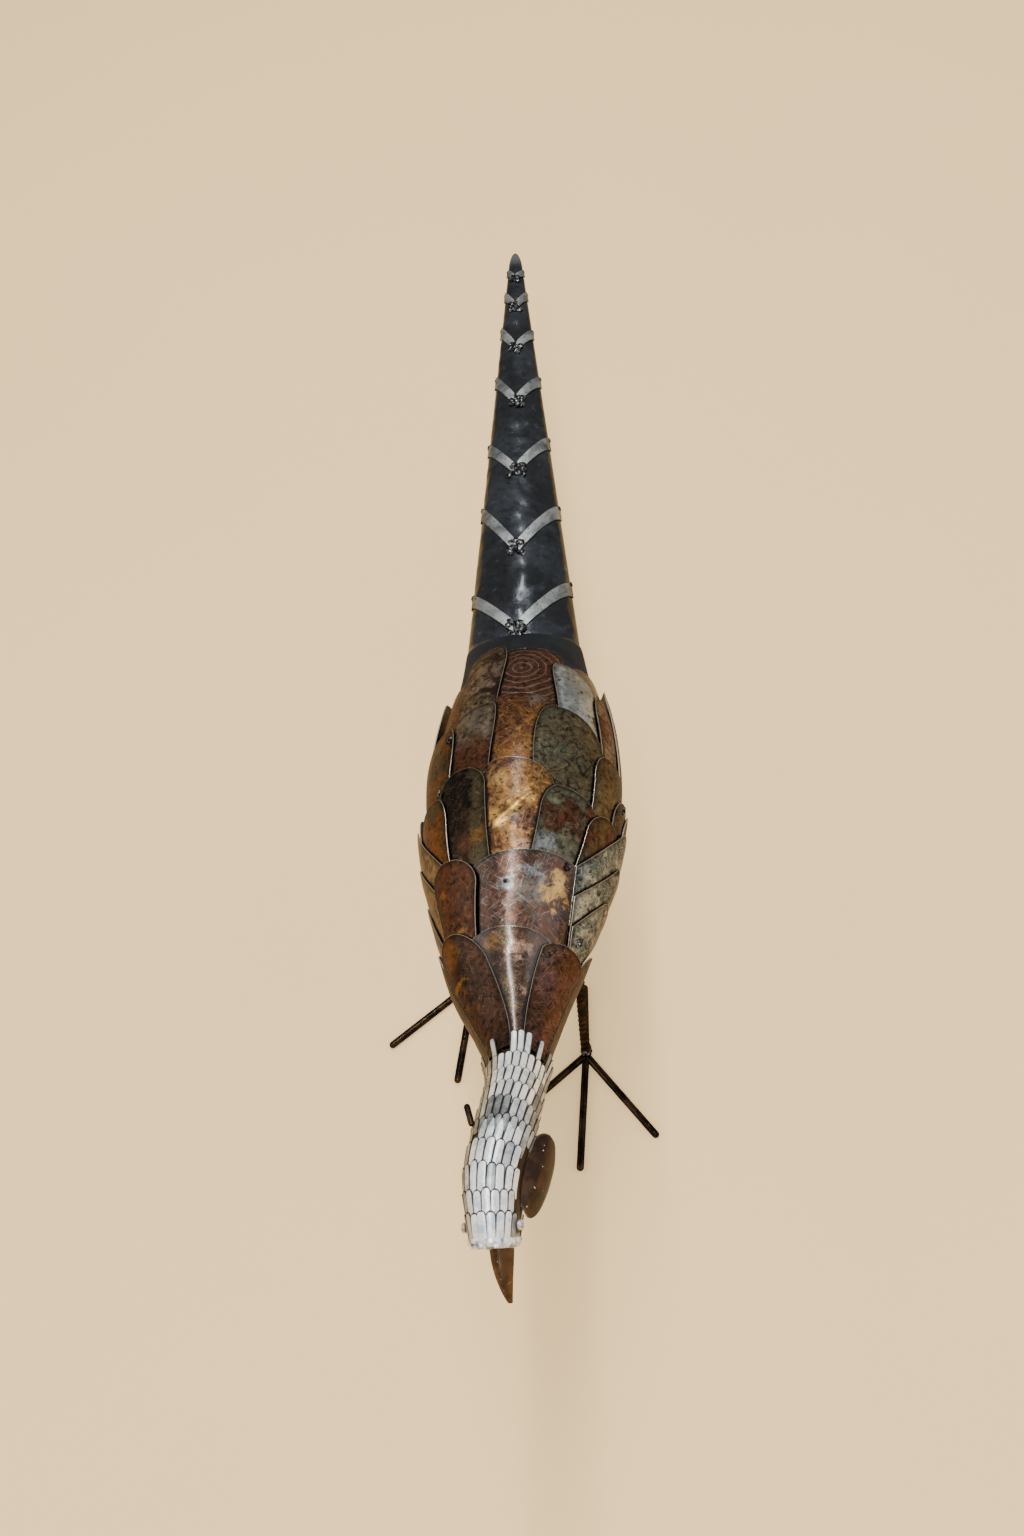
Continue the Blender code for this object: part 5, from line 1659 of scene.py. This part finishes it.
def make_leg(name, foot, node):
    base, top, axis = leg_line(foot)
    shape = numbered_shape("bright")
    add_bar(shape, base + axis * WELD_HEIGHT * 0.5, top + axis * 0.5 * MM, LEG_BAR / 2 - RIB_INSET, RIB)
    return bar_piece(name, shape, "ribbed_bar", node)


def make_hip_weld(name, foot):
    along, angle, _ = foot["hip"]
    _, top, _ = leg_line(foot)
    normal = skin_normal(along, angle)
    side = normal.orthogonal().normalized()
    other = normal.cross(side)
    shape = bmesh.new()
    for drop in range(HIP_DROPS):
        turn = 2 * math.pi * drop / HIP_DROPS
        around_leg = (side * math.cos(turn) + other * math.sin(turn)) * (LEG_BAR / 2 + 0.6 * MM)
        radius = chance.uniform(*HIP_DROP_SIZE) * MM
        drop_of_weld(shape, top + around_leg + normal * MM, normal, radius, drop)
    return new_piece(name, shape, WELD, "black_bar")


for foot_name, foot_parts in FEET.items():
    make_foot(f"foot_{foot_name}_toes", foot_parts, f"{foot_name}_foot")
    make_foot_weld(f"foot_{foot_name}_weld", foot_parts)
    make_leg(f"leg_{foot_name}_bar", foot_parts, f"{foot_name}_leg")
    make_hip_weld(f"hip_{foot_name}_weld", foot_parts)
    print(foot_name, "foot and leg made")

# %% Make the ear tuft
TUFT = {"behind_front": 0.063, "angle": -40, "length": 0.0155, "lean": 34, "bar": 4.2 * MM}


def make_tuft():
    along = HEAD_FRONT - TUFT["behind_front"]
    lean = math.radians(TUFT["lean"])
    axis = skin_normal(along, TUFT["angle"]) * math.sin(lean) - station(along)[3] * math.cos(lean)
    start = skin(along, TUFT["angle"], HEAD_LIFT + BAND_GAP + TUFT["bar"] / 2 * math.cos(lean))
    shape = numbered_shape("bright")
    add_bar(shape, start, start + axis * TUFT["length"], TUFT["bar"] / 2, round_start=True, dot=True)
    return bar_piece("ear_tuft_bar", shape, "black_bar", "ear_tuft")


print(make_tuft().name, "made")

# %% [markdown]
# ## Welds on the body
# A few welds were left standing on the back: a burnt hole closed with a drop, a short chain of beads
# between the nape and the mantle, a coiled drip on the right shoulder and a few dark tacks between
# the side plates. They are placed by their distance along the spine and their angle.

# %% Make the body's welds
DROP_STAND = 1.1 * MM      # how far a drop's middle stands above its plate's level
# along, angle, level, radius in millimetres, number of drops, spread in millimetres
BODY_WELDS = [
    (0.270, 0.0, 8, 1.5, 3, 1.0),
    (0.3285, 34, 11, 1.2, 5, 3.4),
    (0.3240, 38, 11, 1.5, 4, 2.6),
    (0.3035, 64, 11, 1.9, 8, 3.6),
    (0.2500, 40, 8, 1.8, 6, 2.6),
    (0.2290, 82, 9, 1.6, 5, 2.2),
    (0.1820, 76, 7, 1.9, 5, 3.0),
    (0.1360, -42, 5, 2.2, 5, 3.4),
    (0.1850, -46, 6, 1.8, 4, 2.6),
    (0.0700, 14, 2, 1.3, 3, 1.4),
]


def make_body_welds():
    shape = bmesh.new()
    for number, (along, angle, level, radius, drops, spread) in enumerate(BODY_WELDS):
        for drop in range(drops):
            near = along + chance.uniform(-1, 1) * spread * MM
            lift = level_lift(level, near) + DROP_STAND
            turned = step_around(near, angle, chance.uniform(-1, 1) * spread * 0.6 * MM, lift)
            drop_of_weld(shape, skin(near, turned, lift), skin_normal(near, turned),
                         radius * chance.uniform(0.6, 1.0) * MM, number * 7 + drop)
    return new_piece("body_welds", shape, WELD, "black_bar")


print(make_body_welds().name, "made")

# %% [markdown]
# ## Floor, light and camera
# The bird stands on a plain pale floor. A long narrow lamp over its back draws the streak of light
# along the ridge, and large dim ones on both sides fill the rest. The camera looks down from the
# front, a little from the bird's left, and is rolled so that the tail points up in the picture.

# %% Floor
FLOOR_SIZE = 12.0
FLOOR_DEPTH = 0.5 * MM
FLOOR_GLOW = 0.62          # how strongly the floor shines by itself, so that it looks evenly lit


def floor_paint():
    """A matt beige with the faintest unevenness."""
    finish = Finish("floor_paint", 0.0, 0.9)
    broad = finish.cloud(finish.place(), 3, 3)
    colour = finish.mix(broad, tone(243, 206, 148), tone(246, 210, 153))
    finish.set("Base Color", colour)
    finish.set("Emission Color", colour)
    finish.set("Emission Strength", FLOOR_GLOW)
    return finish.material


floor_shape = bmesh.new()
bmesh.ops.create_grid(floor_shape, x_segments=1, y_segments=1, size=FLOOR_SIZE / 2,
                      matrix=Matrix.Translation((0, 0, -FLOOR_DEPTH)))
floor_mesh = bpy.data.meshes.new("floor")
floor_shape.to_mesh(floor_mesh)
floor_shape.free()
floor = linked("floor", floor_mesh)
floor_mesh.materials.append(floor_paint())
print("floor made")


# %% Lamps
def lamp(name, place, target, size, power, colour=(1, 1, 1)):
    made = bpy.data.lights.new(name, "AREA")
    made.shape = "RECTANGLE"
    made.size, made.size_y = size
    made.energy = power
    made.color = colour
    item = linked(name, made)
    item.location = place
    item.rotation_euler = (Vector(target) - Vector(place)).to_track_quat("-Z", "Y").to_euler()


MIDDLE = (0.0, -0.1, 0.28)
lamp("ridge_lamp", (0.02, 0.1, 2.2), (0.02, 0.1, 0.0), (0.09, 3.2), 46, (1.0, 0.98, 0.95))
lamp("left_lamp", (-2.2, -0.4, 1.8), MIDDLE, (1.6, 2.4), 14, (1.0, 0.97, 0.93))
lamp("right_lamp", (2.2, -0.6, 1.8), MIDDLE, (1.6, 2.4), 13, (0.96, 0.98, 1.0))
lamp("front_lamp", (0.3, -2.4, 1.9), MIDDLE, (1.0, 0.7), 12, (1.0, 0.99, 0.97))

world = bpy.data.worlds.new("studio")
world.use_nodes = True
world.node_tree.nodes["Background"].inputs["Color"].default_value = (0.92, 0.90, 0.87, 1.0)
world.node_tree.nodes["Background"].inputs["Strength"].default_value = 0.55
bpy.context.scene.world = world
print("lamps:", len(bpy.data.lights))

# %% Camera
CAMERA_ELEVATION = math.radians(57)
CAMERA_AZIMUTH = math.radians(10)
CAMERA_ROLL = math.radians(-11.9)
CAMERA_DISTANCE = 1.37
CAMERA_TARGET = Vector((-0.006, 0.032, 0.285)) + SET_OFF
LONG_SIDE = 1536
FOCAL_PIXELS = 1750


def make_camera():
    e, a, r = CAMERA_ELEVATION, CAMERA_AZIMUTH, CAMERA_ROLL
    back = Vector((math.sin(a) * math.cos(e), -math.cos(a) * math.cos(e), math.sin(e)))
    right = Vector((math.cos(a), math.sin(a), 0.0))
    up = back.cross(right)
    rolled_right = right * math.cos(r) + up * math.sin(r)
    rolled_up = up * math.cos(r) - right * math.sin(r)
    data = bpy.data.cameras.new("camera")
    data.sensor_width = 36.0
    data.lens = data.sensor_width * FOCAL_PIXELS / LONG_SIDE
    item = linked("camera", data)
    turn = Matrix((rolled_right, rolled_up, back)).transposed().to_4x4()
    item.matrix_world = Matrix.Translation(CAMERA_TARGET + back * CAMERA_DISTANCE) @ turn
    bpy.context.scene.camera = item
    return data


print("lens", round(make_camera().lens, 2), "mm")
